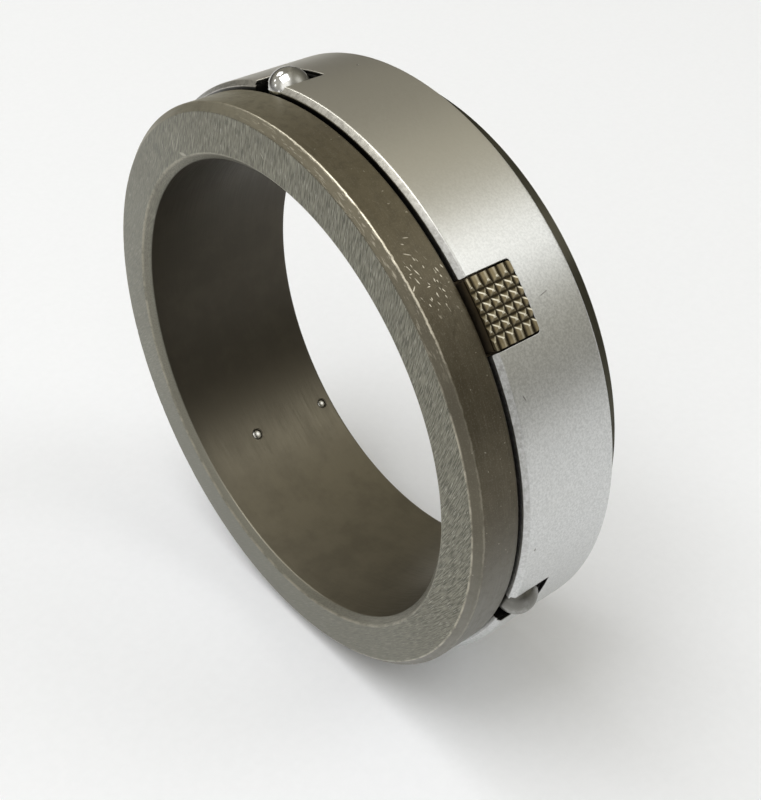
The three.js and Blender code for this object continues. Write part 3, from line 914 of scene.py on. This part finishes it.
class Finish(Graph):
    """A material's nodes. Positions are in millimetres in the ring's own frame."""

    def __init__(self, name):
        self.material = bpy.data.materials.new(name)
        self.material.use_nodes = True
        super().__init__(self.material.node_tree)
        coordinates = self.tree.nodes.new("ShaderNodeTexCoord")
        self.normal = coordinates.outputs["Normal"]
        self.position = self.vector("MULTIPLY", coordinates.outputs["Object"], (1 / MM,) * 3)
        self.x, self.y, self.z = self.parts(self.position)
        self.radius = self.math("SQRT", self.add(self.square(self.x), self.square(self.z)))
        self.angle = self.times(self.math("ARCTAN2", self.z, self.x), 180 / math.pi)

    def bump(self, height, depth, normal=None):
        """Relief whose full height is depth millimetres."""
        node = self.tree.nodes.new("ShaderNodeBump")
        node.inputs["Distance"].default_value = depth * MM
        self.put(height, node.inputs["Height"])
        if normal is not None:
            self.put(normal, node.inputs["Normal"])
        return node.outputs["Normal"]

    def stretched(self, *shares):
        """The position with each of its parts multiplied, to draw a pattern out."""
        return self.vector("MULTIPLY", self.position, shares)

    def turned_lines(self, per_mm):
        """Fine lines round the axis, as a lathe tool leaves them."""
        return self.noise(per_mm, 3.0, 0.6, self.stretched(0.04, 1.0, 0.04))

    def ground_lines(self, per_mm, direction, bend_radius, length_ratio):
        """Short strokes on the front face, along arcs of bend_radius that run at about direction."""
        c, s = math.cos(math.radians(direction)), math.sin(math.radians(direction))
        along = self.add(self.times(self.x, c), self.times(self.z, s))
        across = self.add(self.times(self.x, s), self.times(self.z, -c))
        middle = 0.6 * FLANGE_RADIUS
        across = self.add(across, self.times(self.square(self.add(along, -middle)), 0.5 / bend_radius))
        return self.noise(per_mm, 2.0, 0.55, self.join(across, self.times(along, 1 / length_ratio), self.y))

    def turned(self, a, b, c, s):
        """Two distances seen along and across a direction with cosine c and sine s."""
        return self.add(self.times(a, c), self.times(b, s)), self.add(self.times(a, -s), self.times(b, c))

    def local(self, angle, y, slant):
        """Distances from a place on the rim, along and across a direction at a slant to the way round."""
        around = self.times(self.add(self.angle, -angle), self.times(self.radius, math.pi / 180))
        slant = math.radians(slant)
        return self.turned(around, self.add(self.y, -y), math.cos(slant), math.sin(slant))

    def oval(self, u, v, length, width, full=0.3):
        """1 in the middle of an oval and 0 outside it, from distances along and across it."""
        reach = self.add(self.square(self.times(u, 2 / length)), self.square(self.times(v, 2 / width)))
        return self.step(reach, 1.0, full)

    def mark(self, angle, y, length, width, slant):
        """1 on a short scratch centred at an angle and a place along the axis, 0 away from it."""
        return self.oval(*self.local(angle, y, slant), length, width)

    def stroke(self, start, end, width):
        """1 on a straight scratch between two (x, z) places on the front face, 0 away from it."""
        middle = (Vector(start) + Vector(end)) / 2
        way = Vector(end) - Vector(start)
        along = self.turned(self.add(self.x, -middle.x), self.add(self.z, -middle.y), *way.normalized())
        return self.oval(*along, way.length, width)

    def metal(self, color, roughness, normal=None, metallic=1.0):
        shader = self.tree.nodes.new("ShaderNodeBsdfPrincipled")
        shader.inputs["Metallic"].default_value = metallic
        self.put(color, shader.inputs["Base Color"])
        self.put(roughness, shader.inputs["Roughness"])
        if normal is not None:
            self.put(normal, shader.inputs["Normal"])
        return self.finish(shader)

    def finish(self, shader):
        output = self.tree.nodes.new("ShaderNodeOutputMaterial")
        self.tree.links.new(shader.outputs[0], output.inputs[0])
        return self.material


# Knocks on the flange's rim beside the first key: angle, place along the axis, length and slant in degrees.
RIM_SCRATCHES = [
    (56.6, 3.53, 0.69, 106), (55.8, 2.77, 0.36, 128), (54.0, 2.62, 0.95, 121), (50.8, 2.52, 0.89, 158),
    (49.4, 2.09, 0.70, 164), (50.9, 1.80, 0.35, 92), (48.6, 1.28, 0.76, 46), (51.2, 3.54, 0.38, 1),
    (50.0, 4.80, 0.66, 165), (50.2, 5.50, 0.55, 161), (48.6, 3.94, 0.50, 2), (48.8, 4.87, 0.43, 166),
    (46.1, 2.62, 0.37, 1), (45.3, 2.09, 0.43, 164), (48.0, 2.96, 0.44, 88), (46.6, 4.34, 0.52, 153),
]

# Light scratches on the flange's front face: the (x, z) places they run between, and their width.
FACE_SCRATCHES = [
    ((-16.3, 30.2), (-18.0, 26.3), 0.16),
    ((-18.5, 28.7), (-18.3, 25.9), 0.16),
    ((-13.7, 30.6), (-13.9, 28.0), 0.12),
    ((-17.2, 26.6), (-15.4, 26.9), 0.45),
    ((0.3, 33.4), (0.95, 32.7), 0.18),
]

# Dark marks on the sleeve: angle, place along the axis, length, width and slant in degrees.
SLEEVE_MARKS = [
    (39.6, 14.8, 1.5, 0.14, 78),
    (26.0, 8.1, 0.9, 0.2, -20),
    (-2.8, 7.8, 0.5, 0.35, 0),
    (96.0, 16.6, 0.5, 0.3, 30),
]

BARE_STEEL_AND_HIGHLIGHT = (0.56, 0.52, 0.42)
SCRATCHED_FACE = (0.56, 0.54, 0.46)
OLD_DIRT = (0.2, 0.19, 0.17)
DARK_OIL = (0.13, 0.12, 0.095)


def ground_face(g, strokes, cloud):
    """Colour of the flange's front face: short grinding strokes, paler at the left as painted light, calmer
    at the bottom.
    """
    fine_strokes = g.ground_lines(12.0, 73, 76, 18)
    color = g.mix(g.step(strokes, 0.36, 0.62), (0.091, 0.088, 0.066), (0.232, 0.226, 0.178))
    color = g.coat(color, (0.43, 0.42, 0.36), g.step(fine_strokes, 0.56, 0.68), 0.75)
    # painted light: the left of the face is drawn paler, standing in for the brighter light it shows there
    left = g.step(g.add(g.times(g.x, 0.94), g.times(g.z, 0.34)), 5.0, -26.0)
    color = g.coat(color, (0.260, 0.260, 0.228), left, 0.45)
    color = g.coat(color, DARK_OIL, g.step(cloud, 0.4, 0.7), 0.2)
    color = g.coat(color, (0.200, 0.196, 0.163), g.step(g.z, -8.0, -26.0), 0.55)
    for start, end, width in FACE_SCRATCHES:
        color = g.coat(color, SCRATCHED_FACE, g.stroke(start, end, width), 0.45)
    return color


def turned_sides(g, face_color, chamfer, turning, cloud, grain):
    """Colour of the turned surfaces: brown, greyer low down, paler high at the back, and in the bore a
    painted reflection, dark at the top and lighter low down.
    """
    blotch = g.noise(0.9, 4.0, 0.65)
    color = g.mix(g.step(cloud, 0.35, 0.65), (0.070, 0.058, 0.037), (0.096, 0.082, 0.055))
    color = g.coat(color, (0.185, 0.180, 0.158), g.step(g.z, 9.0, -12.0))
    color = g.coat(color, (0.138, 0.118, 0.076), g.step(g.x, 30.0, 14.0))
    # the rim is drawn paler high up at the back
    pale_high_at_back = g.times(g.step(g.x, 8.0, -12.0), g.step(g.z, 14.0, 28.0), g.step(g.y, 9.0, 7.0))
    color = g.coat(color, (0.300, 0.276, 0.200), pale_high_at_back)
    color = g.coat(color, (0.20, 0.18, 0.135), g.step(turning, 0.45, 0.75), 0.2)
    color = g.coat(color, (0.065, 0.056, 0.037), g.step(blotch, 0.42, 0.7), 0.32)
    color = g.coat(color, (0.25, 0.23, 0.18), g.step(grain, 0.5, 0.8), 0.3)
    # painted reflection: the bore is drawn dark at the top, where it mirrors the ring's own dark inside, and
    # lighter low down
    bore_tone_and_painted_reflection = g.mix(g.step(g.z, -14.0, -31.0), (0.056, 0.049, 0.036), (0.200, 0.178, 0.128))
    bore_cloud = g.noise(0.22, 4.0, 0.65)
    bore_tone_and_painted_reflection = g.coat(bore_tone_and_painted_reflection, (0.085, 0.074, 0.054), g.step(bore_cloud, 0.38, 0.72), 0.3)
    color = g.mix(g.step(g.radius, BORE_RADIUS + 0.35, BORE_RADIUS + 0.1), color, bore_tone_and_painted_reflection)
    lead_in = g.times(g.step(g.radius, BORE_RADIUS + 1.2, BORE_RADIUS + 1.1), g.step(g.y, 1.1, 0.8))
    color = g.coat(color, face_color, lead_in, 0.85)
    return g.coat(color, (0.185, 0.175, 0.14), chamfer, 0.3)


def rubbed_edges_and_highlight(g, near_key, chamfer):
    """1 where the hub's corners are drawn bright: rubbed metal, with a painted highlight along the rim's
    corners, most beside the first key, in patches elsewhere.
    """
    rim_corner_radius = FLANGE_RADIUS - RIM_CHAMFER
    # partly painted highlight: bright lines on the rim's rounded corners, laid where light catches them,
    # together with rubbed metal
    face_corner = g.times(
        g.step(g.radius, rim_corner_radius - 0.16, rim_corner_radius - 0.02),
        g.step(g.radius, rim_corner_radius + 0.16, rim_corner_radius + 0.04),
        g.step(g.y, 0.4, 0.2),
        g.step(g.z, 27.0, 12.0),
    )
    uneven_y = g.add(g.y, g.times(g.add(g.noise(1.3, 4.0, 0.7), -0.5), 0.35))
    rim_corner = g.times(
        g.step(uneven_y, RIM_CHAMFER - 0.15, RIM_CHAMFER - 0.05),
        g.step(uneven_y, RIM_CHAMFER + 0.12, RIM_CHAMFER + 0.03),
        g.step(g.radius, FLANGE_RADIUS - 0.3, FLANGE_RADIUS - 0.15),
        g.blend(near_key, 0.18, 1.0),
    )
    back_corner = g.times(
        g.step(g.y, FLANGE_WIDTH - 0.2, FLANGE_WIDTH - 0.08),
        g.step(g.radius, FLANGE_RADIUS - 0.4, FLANGE_RADIUS - 0.15),
        0.3,
    )
    lip = g.times(g.step(g.radius, BORE_RADIUS + 1.15, BORE_RADIUS + 0.9), g.step(g.y, 0.3, 0.1), 0.35)
    edges = g.add(g.times(face_corner, 0.6), rim_corner, back_corner, lip)
    patchy = g.step(g.noise(0.5, 3.0, 0.6), 0.3, 0.62)
    breaks = g.step(g.noise(0.8, 4.0, 0.7), 0.36, 0.5)
    wear_and_highlight = g.times(edges, g.most(patchy, g.times(near_key, g.blend(breaks, 0.3, 1.0))))
    drawn_out = g.join(g.times(g.angle, 0.45), g.times(g.y, 4.0), g.times(g.radius, 4.0))
    scuffs = g.step(g.noise(1.0, 2.0, 0.6, drawn_out), 0.54, 0.66)
    return g.most(wear_and_highlight, g.times(chamfer, near_key, scuffs, 0.35))


def rim_knocks(g):
    """1 on the knocks and chips of the rim beside the first key."""
    knocks = [g.mark(angle, y, length * 1.15, 0.17, slant) for angle, y, length, slant in RIM_SCRATCHES]
    run, across = g.local(48.5, 3.0, 165)
    chips = g.noise(1.0, 1.0, 0.5, g.join(run, g.times(across, 3.4), 0.0))
    return g.most(*knocks, g.times(g.step(chips, 0.63, 0.70), g.oval(run, across, 10.0, 5.2, 0.2)))


def ground_steel():
    """Dark tempered steel: a face ground in short strokes, turned brown sides, rubbed edges with a painted
    highlight, insides painted black as shade.
    """
    g = Finish("ground_steel")
    facing = g.size(g.parts(g.normal)[1])
    face = g.times(g.step(facing, 0.8, 0.97), g.step(g.y, 2.0, 1.0))
    chamfer = g.times(g.step(facing, 0.25, 0.5), g.step(facing, 0.95, 0.85), g.step(g.y, 1.6, 1.3))
    near_key = g.times(g.step(g.angle, 30.0, 44.0), g.step(g.angle, 104.0, 80.0))
    strokes = g.ground_lines(7.5, 70, 76, 14)
    turning = g.turned_lines(5.0)
    cloud = g.noise(0.12, 4.0, 0.6)
    grain = g.noise(6.0, 2.0)

    face_color = ground_face(g, strokes, cloud)
    color = g.mix(face, turned_sides(g, face_color, chamfer, turning, cloud, grain), face_color)
    knocks = rim_knocks(g)
    specks = g.times(g.step(g.noise(2.8, 0.0), 0.82, 0.86), g.step(g.radius, 33.0, 35.0), 0.4)
    rubbed_metal_and_highlight = g.most(rubbed_edges_and_highlight(g, near_key, chamfer), specks, g.times(knocks, 0.75))
    # rubbed metal, and painted highlight on the rim's corners
    color = g.coat(color, BARE_STEEL_AND_HIGHLIGHT, rubbed_metal_and_highlight)
    # painted shade: the flange's back, the journal and the tail, which lie inside the sleeve and rear ring,
    # are painted near-black
    painted_inner_shade = g.times(
        g.step(g.radius, FLANGE_RADIUS - 0.3, FLANGE_RADIUS - 0.6),
        g.step(g.y, FLANGE_WIDTH - 0.15, FLANGE_WIDTH - 0.05),
        g.step(g.radius, BORE_RADIUS + 0.2, BORE_RADIUS + 0.4),
        g.step(g.y, TOTAL_WIDTH - 0.35, TOTAL_WIDTH - 0.5),
    )
    color = g.coat(color, (0.012, 0.011, 0.010), painted_inner_shade)

    side_roughness = g.blend(g.step(turning, 0.3, 0.7), 0.38, 0.47)
    roughness = g.blend(face, side_roughness, g.blend(g.step(strokes, 0.3, 0.7), 0.38, 0.5))
    roughness = g.blend(rubbed_metal_and_highlight, roughness, 0.28)
    normal = g.bump(g.blend(face, turning, strokes), 0.005)
    normal = g.bump(grain, 0.002, normal)
    return g.metal(color, roughness, g.bump(knocks, -0.02, normal), 0.75)


def satin_steel():
    """Even fine-grained satin steel, warmer at the top as a painted reflection of the room, with a few marks
    and near-black painted shade below its outer surface: inner walls, slot floors and front face.
    """
    g = Finish("satin_steel")
    grain = g.noise(3.6, 3.0, 0.7)
    color = g.mix(g.step(grain, 0.3, 0.7), (0.52, 0.528, 0.525), (0.70, 0.708, 0.705))
    color = g.coat(color, (0.60, 0.595, 0.57), g.step(g.noise(0.08, 3.0), 0.4, 0.7), 0.2)
    # painted reflection: the top is drawn warmer, standing in for the warm room it reflects
    color = g.coat(color, (0.62, 0.60, 0.535), g.step(g.z, 28.0, 35.5), 0.9)
    marks = g.most(*[g.mark(*mark) for mark in SLEEVE_MARKS])
    color = g.coat(color, OLD_DIRT, marks, 0.75)
    chamfer_end = SLEEVE_FRONT + SLEEVE_FRONT_CHAMFER
    dirt = g.blend(g.step(g.noise(1.5, 3.0, 0.7), 0.42, 0.62), 0.25, 0.55)
    fade = g.blend(g.step(g.z, -10.0, 14.0), 0.3, 1.0)
    color = g.coat(color, OLD_DIRT, g.step(g.y, chamfer_end, chamfer_end - 0.1), dirt, fade)

    facing = g.size(g.parts(g.normal)[1])
    chamfer_left = g.most(g.add(chamfer_end, g.times(g.y, -1.0)), 0.0)
    depth = g.add(SLEEVE_RADIUS, g.times(g.add(chamfer_left, g.radius), -1.0))
    back_corner = SLEEVE_BACK - SLEEVE_BACK_CHAMFER
    before_back = g.step(g.y, back_corner - 0.1, back_corner - 0.2)
    front_face = g.step(g.y, SLEEVE_FRONT + 0.09, SLEEVE_FRONT + 0.04)
    # painted shade: the sleeve's front face is drawn dark, most at the top
    front_shade = g.blend(front_face, 1.0, g.blend(g.step(g.z, 22.0, 37.0), 0.2, 1.0))
    walls = g.times(g.step(g.radius, SLEEVE_RADIUS - 0.6, SLEEVE_RADIUS - 0.7), g.step(facing, 0.9, 0.8))
    # painted shade: everything below the outer surface before the back chamfer, and the inner walls, are
    # painted near-black
    painted_inner_shade = g.most(g.times(g.step(depth, 0.06, 0.16), before_back, front_shade), walls)
    color = g.coat(color, (0.02, 0.019, 0.017), painted_inner_shade)
    hairs = g.step(g.noise(0.5, 5.0, 0.72, g.stretched(1.0, 9.0, 1.0)), 0.66, 0.72)
    roughness = g.add(g.blend(grain, 0.31, 0.43), g.times(hairs, -0.06))
    return g.metal(color, roughness, g.bump(marks, -0.03, g.bump(grain, 0.004)))


def dark_steel():
    """Oil-blackened steel with turning lines and lighter edges."""
    g = Finish("dark_steel")
    turning = g.turned_lines(6.0)
    color = g.mix(g.step(g.noise(0.2, 3.0), 0.35, 0.65), (0.050, 0.047, 0.034), (0.078, 0.073, 0.054))
    color = g.coat(color, (0.12, 0.11, 0.09), g.step(turning, 0.5, 0.75), 0.4)
    outside = g.step(g.radius, REAR_RING_RADIUS - 0.45, REAR_RING_RADIUS - 0.2)
    at_back = g.step(g.y, TOTAL_WIDTH - 0.45, TOTAL_WIDTH - 0.3)
    color = g.coat(color, (0.2, 0.19, 0.16), outside, at_back, g.step(g.noise(0.7, 3.0), 0.45, 0.65), 0.5)
    return g.metal(color, g.blend(turning, 0.36, 0.52), g.bump(turning, 0.005))


def polished_steel():
    """Mirror-bright bearing steel with a haze of very fine scratches and a few smears, darker on the lower
    balls, with painted shade on the far side of the top ball and on the upper part of the lower right ball.
    """
    g = Finish("polished_steel")
    haze = g.noise(1.2, 5.0, 0.75)
    scratches = g.step(g.noise(1.5, 4.0, 0.8, g.stretched(1.0, 7.0, 2.0)), 0.66, 0.70)
    color = g.mix(g.step(haze, 0.35, 0.7), (0.70, 0.70, 0.685), (0.82, 0.82, 0.81))
    smear = g.noise(0.9, 5.0, 0.72)
    # the lower balls are drawn darker and mottled
    low_darkening = g.times(g.step(g.z, 10.0, -6.0), g.blend(g.step(smear, 0.28, 0.55), 0.7, 1.0))
    # painted shade: the far, right-hand side of the top ball is drawn dark and mottled, dulling its
    # reflection there
    far_side = g.times(g.step(g.add(g.x, g.y), 2.5, 3.3), g.step(g.z, 0.0, 10.0))
    far_painted_shade = g.times(far_side, g.blend(g.step(smear, 0.3, 0.6), 0.85, 1.0))
    # random smears, the darker lower balls and the painted shade together
    smear_and_painted_shade = g.most(g.times(g.step(smear, 0.42, 0.62), 0.35), low_darkening, far_painted_shade)
    color = g.coat(color, (0.25, 0.245, 0.22), smear_and_painted_shade, 0.9)
    # painted shade: the upper part of the lower right ball is drawn dark
    color = g.coat(color, (0.10, 0.098, 0.088), g.step(g.z, -13.6, -11.2), g.step(g.z, 4.0, 0.0), 0.7)
    roughness = g.add(g.blend(haze, 0.03, 0.09), g.times(scratches, 0.12), g.times(smear_and_painted_shade, 0.3))
    return g.metal(color, roughness, g.bump(scratches, -0.002))


def knurl_ridges(g, height):
    """1 on the rubbed ridges and the tips of the knurl's pyramids, the ridges kept mostly to their upper side
    as a painted highlight.
    """
    turn = g.wrap(g.add(g.angle, -KEY_ANGLE), -60.0, 60.0)
    pitches_round = g.times(turn, 1 / math.degrees(KNURL_PITCH / KEY_TOP_RADIUS))
    pitches_along = g.times(g.add(g.y, -KNURL_Y), 1 / KNURL_PITCH)
    off_peak_round = g.add(g.math("FRACT", pitches_round), -0.5)
    off_peak_along = g.add(g.math("FRACT", pitches_along), -0.5)
    off_ridge = g.size(g.add(g.size(off_peak_round), g.times(g.size(off_peak_along), -1.0)))
    outermost = KNURL_GROOVES / 2
    inside = g.times(*[
        g.step(g.size(pitches), outermost + 0.1, outermost)
        for pitches in (pitches_round, pitches_along)
    ])
    # painted highlight: ridges on the side turned towards the light stay bright, the others are dimmed
    painted_highlight_side = g.blend(g.step(off_peak_round, -0.05, 0.03), 0.12, 1.0)
    ridge = g.times(g.step(off_ridge, 0.16, 0.04), g.step(height, 0.0, 0.3), painted_highlight_side, inside)
    return g.most(ridge, g.times(g.step(height, 0.8, 1.0), g.blend(inside, 0.25, 1.0)))


def bronzed_steel():
    """Hardened steel in a brown temper colour: rubbed bright ridges with a painted highlight, oily flanks
    with a painted highlight where they turn towards the light and painted shade elsewhere, dark roots and
    sides.
    """
    g = Finish("bronzed_steel")
    root_radius = KEY_TOP_RADIUS - KNURL_DEPTH
    height = g.step(g.radius, root_radius, KEY_TOP_RADIUS - 0.03)
    blotch = g.noise(0.9, 3.0, 0.6)
    flank = g.mix(g.step(blotch, 0.35, 0.65), (0.175, 0.142, 0.080), (0.25, 0.208, 0.126))
    normal_x, normal_y, normal_z = g.parts(g.normal)
    turned_up = g.math("DIVIDE", g.add(g.times(normal_z, g.x), g.times(normal_x, g.z, -1.0)), g.radius)
    # painted highlight: flanks turned round towards the light are drawn lighter near their tops
    painted_flank_highlight = g.times(g.step(turned_up, 0.1, 0.5), g.step(height, 0.1, 0.75), g.step(blotch, 0.25, 0.5))
    flank = g.coat(flank, (0.52, 0.47, 0.35), painted_flank_highlight, 0.5)
    # painted shade: flanks turned the other way, and those facing back along the axis, are drawn darker
    painted_flank_shade = g.most(g.step(turned_up, -0.1, -0.5), g.step(normal_y, 0.1, 0.5))
    flank = g.coat(flank, (0.12, 0.096, 0.055), painted_flank_shade, 0.6)
    color = g.mix(g.step(height, 0.0, 0.4), (0.04, 0.032, 0.019), flank)
    wear_and_highlight = knurl_ridges(g, height)
    # rubbed ridges and tips, with painted highlight on their upper side
    color = g.coat(color, (0.82, 0.78, 0.64), wear_and_highlight, 0.92)
    color = g.coat(color, (0.23, 0.188, 0.132), g.step(g.radius, root_radius - 0.02, root_radius - 0.2))
    roughness = g.blend(wear_and_highlight, g.blend(blotch, 0.36, 0.5), 0.3)
    return g.metal(color, roughness, g.bump(g.noise(7.0, 2.0), 0.004))


def plain_metal(name, dark, light, low, high, oily_from=TOTAL_WIDTH):
    """Drawn or ground bright steel, under dark oil beyond a place along the axis except in the bore."""
    g = Finish(name)
    drawn = g.noise(4.0, 3.0, 0.6)
    color = g.mix(g.step(drawn, 0.35, 0.65), dark, light)
    outside = g.step(g.radius, BORE_RADIUS + 1, BORE_RADIUS + 2)
    color = g.coat(color, DARK_OIL, g.step(g.y, oily_from, oily_from + 1), outside)
    return g.metal(color, g.blend(drawn, low, high), g.bump(drawn, 0.003))


def floor_paper():
    """The pale matt top the ring stands on, a little greyer far away."""
    g = Finish("floor_paper")
    fleck = g.noise(0.8, 4.0, 0.7)
    color = g.mix(g.step(fleck, 0.3, 0.7), (0.865, 0.880, 0.915), (0.88, 0.895, 0.93))
    distance = g.math("SQRT", g.add(g.square(g.x), g.square(g.y)))
    color = g.coat(color, (0.60, 0.60, 0.60), g.step(distance, 350.0, 900.0))
    return g.metal(color, 0.55, g.bump(fleck, 0.02), 0.0)


# ---- Assembly ---------------------------------------------------------------------------------

METALS = {
    "ground_steel": ground_steel(),
    "satin_steel": satin_steel(),
    "dark_steel": dark_steel(),
    "polished_steel": polished_steel(),
    "bronzed_steel": bronzed_steel(),
    "spring_steel": plain_metal("spring_steel", (0.30, 0.30, 0.29), (0.40, 0.40, 0.39), 0.28, 0.4),
    "pin_steel": plain_metal("pin_steel", (0.42, 0.41, 0.38), (0.55, 0.54, 0.51), 0.2, 0.32, RING_PIN_Y - 2),
}


def install(piece, node, body, slot, ends=None):
    """Names a piece, gives it its metal and makes it stand for its CAD node.

    A piece with ends, two points in metres, is left free of any body with its placement baked into its mesh;
    the points themselves are not used.
    """
    piece.name = node + "_metal"
    piece.data.name = piece.name
    piece.data.materials.clear()
    piece.data.materials.append(METALS[slot])
    if ends is None:
        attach(piece, body)
    else:
        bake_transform(piece)
    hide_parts(node)


def coil_ends(angle):
    """Where a return spring's wire starts and stops when its middle stands at an angle, in metres."""
    turns = (-COIL_HALF_ANGLE, COIL_HALF_ANGLE)
    return [tuple(polar(angle + turn, COIL_CENTRE_RADIUS, COIL_Y) * MM) for turn in turns]


def install_copies(model, node, body, slot, first_angle, ends_at=lambda angle: None):
    """Copies of a model at equal angles, numbered from 1, in place of the model."""
    for i, angle in enumerate(angles_from(first_angle), start=1):
        piece = turn_to(link(model.data.copy()), angle)
        install(piece, f"{node}_{i}", body.format(i), slot, ends_at(angle))
    bpy.data.objects.remove(model)


def build_object():
    install(hub_flange(), "hub_flange", "hub", "ground_steel")
    install(ball_sleeve(), "ball_sleeve", "sleeve", "satin_steel")
    install(rear_ring(), "rear_ring", "hub", "dark_steel")
    install_copies(ball(), "ball", "ball_{}", "polished_steel", BALL_ANGLE)
    install_copies(grip_key(), "grip_key", "key_{}", "bronzed_steel", KEY_ANGLE)
    install_copies(key_spring(), "key_spring", "sleeve", "spring_steel", KEY_ANGLE)
    install_copies(return_spring(), "return_spring", "hub", "spring_steel", SPRING_ANGLE, coil_ends)
    install_copies(stop_pin(), "stop_pin", "hub", "pin_steel", PIN_ANGLE)
    install_copies(ring_pin(), "ring_pin", "hub", "pin_steel", PIN_ANGLE)


# ---- Stage -----------------------------------------------------------------------------------

VIEW_AZIMUTH = 50.93
VIEW_ELEVATION = 37.52
VIEW_DISTANCE = 154.0
VIEW_AIM = (8.2, 10.1, 0.0)
LENS = 56.5
FLOOR_HALF = 1600.0


def direction(azimuth, elevation):
    """Unit vector towards an azimuth (0 is in front, along -Y, and 90 is +X) and an elevation."""
    a, e = math.radians(azimuth), math.radians(elevation)
    return Vector((math.sin(a) * math.cos(e), -math.cos(a) * math.cos(e), math.sin(e)))


def build_camera():
    camera = bpy.data.objects.new("camera", bpy.data.cameras.new("camera"))
    bpy.context.scene.collection.objects.link(camera)
    back = direction(VIEW_AZIMUTH, VIEW_ELEVATION)
    camera.location = (Vector(VIEW_AIM) + back * VIEW_DISTANCE) * MM
    camera.rotation_euler = back.to_track_quat("Z", "Y").to_euler()
    camera.data.lens = LENS
    camera.data.sensor_width = 36
    camera.data.clip_start = 0.005
    bpy.context.scene.camera = camera


def build_floor():
    """A wide flat grid just under the ring's lowest point."""
    lines = 9
    grid = np.linspace(-FLOOR_HALF, FLOOR_HALF, lines)
    lowest = CAD_BOX[0][2] / MM
    vertices = [(x, y, lowest - 0.02) for x in grid for y in grid]
    faces = []
    for i in range(lines - 1):
        for corner in range(i * lines, i * lines + lines - 1):
            faces.append((corner, corner + lines, corner + lines + 1, corner + 1))
    floor = new_object(vertices, faces)
    floor.name = "floor"
    floor.data.name = "floor"
    if floor.data.polygons[0].normal.z < 0:
        floor.data.flip_normals()
    floor.data.materials.append(floor_paper())


def soft_light(name, azimuth, elevation, distance, size, power):
    """A square lamp, sizes in metres, that looks at the ring's middle."""
    light = bpy.data.lights.new(name, "AREA")
    light.shape = "SQUARE"
    light.size = size
    light.energy = power
    holder = bpy.data.objects.new(name, light)
    bpy.context.scene.collection.objects.link(holder)
    towards = direction(azimuth, elevation)
    holder.location = towards * distance
    holder.rotation_euler = towards.to_track_quat("Z", "Y").to_euler()


# Soft bright patches of the room: azimuth, elevation, inner and outer half angle in degrees, and colour.
ROOM_PATCHES = [
    (138, 46, 5, 17, (2.25, 2.28, 2.3)),
    (122, 18, 4, 24, (0.24, 0.23, 0.19)),
    (160, 58, 8, 42, (0.28, 0.27, 0.23)),
    (40, 42, 8, 42, (0.80, 0.80, 0.80)),
    (0, 25, 20, 85, (0.22, 0.22, 0.22)),
    (-53, 28, 2, 5, (2.5, 2.5, 2.5)),
    (-31, 20, 2, 5, (2.0, 2.0, 2.0)),
    (0, 6, 2, 6, (1.5, 1.5, 1.5)),
]


def room_light():
    """The room as a shader on the sky: dark near the horizon, dim warm walls above it, soft patches."""
    world = bpy.data.worlds.new("room")
    bpy.context.scene.world = world
    world.use_nodes = True
    g = Graph(world.node_tree)
    toward = g.tree.nodes.new("ShaderNodeTexCoord").outputs["Generated"]
    height = g.parts(toward)[2]
    color = g.mix(g.step(height, 0.06, 0.42), (0.09, 0.085, 0.075), (0.265, 0.25, 0.205))
    for azimuth, elevation, inner, outer, glow in ROOM_PATCHES:
        inside = g.step(
            g.dot(toward, direction(azimuth, elevation)),
            math.cos(math.radians(outer)),
            math.cos(math.radians(inner)),
        )
        color = g.vector("ADD", color, g.mix(inside, (0, 0, 0), glow))
    room = g.tree.nodes.new("ShaderNodeBackground")
    g.put(color, room.inputs["Color"])
    output = g.tree.nodes.new("ShaderNodeOutputWorld")
    g.tree.links.new(room.outputs[0], output.inputs[0])


def build_light():
    room_light()
    soft_light("ceiling", -19, 70, 2.4, 1.6, 27.0)
    soft_light("window", -82, 44, 2.6, 0.8, 9.5)
    bpy.context.scene.view_settings.view_transform = "Standard"


build_camera()
build_floor()
build_light()
build_object()
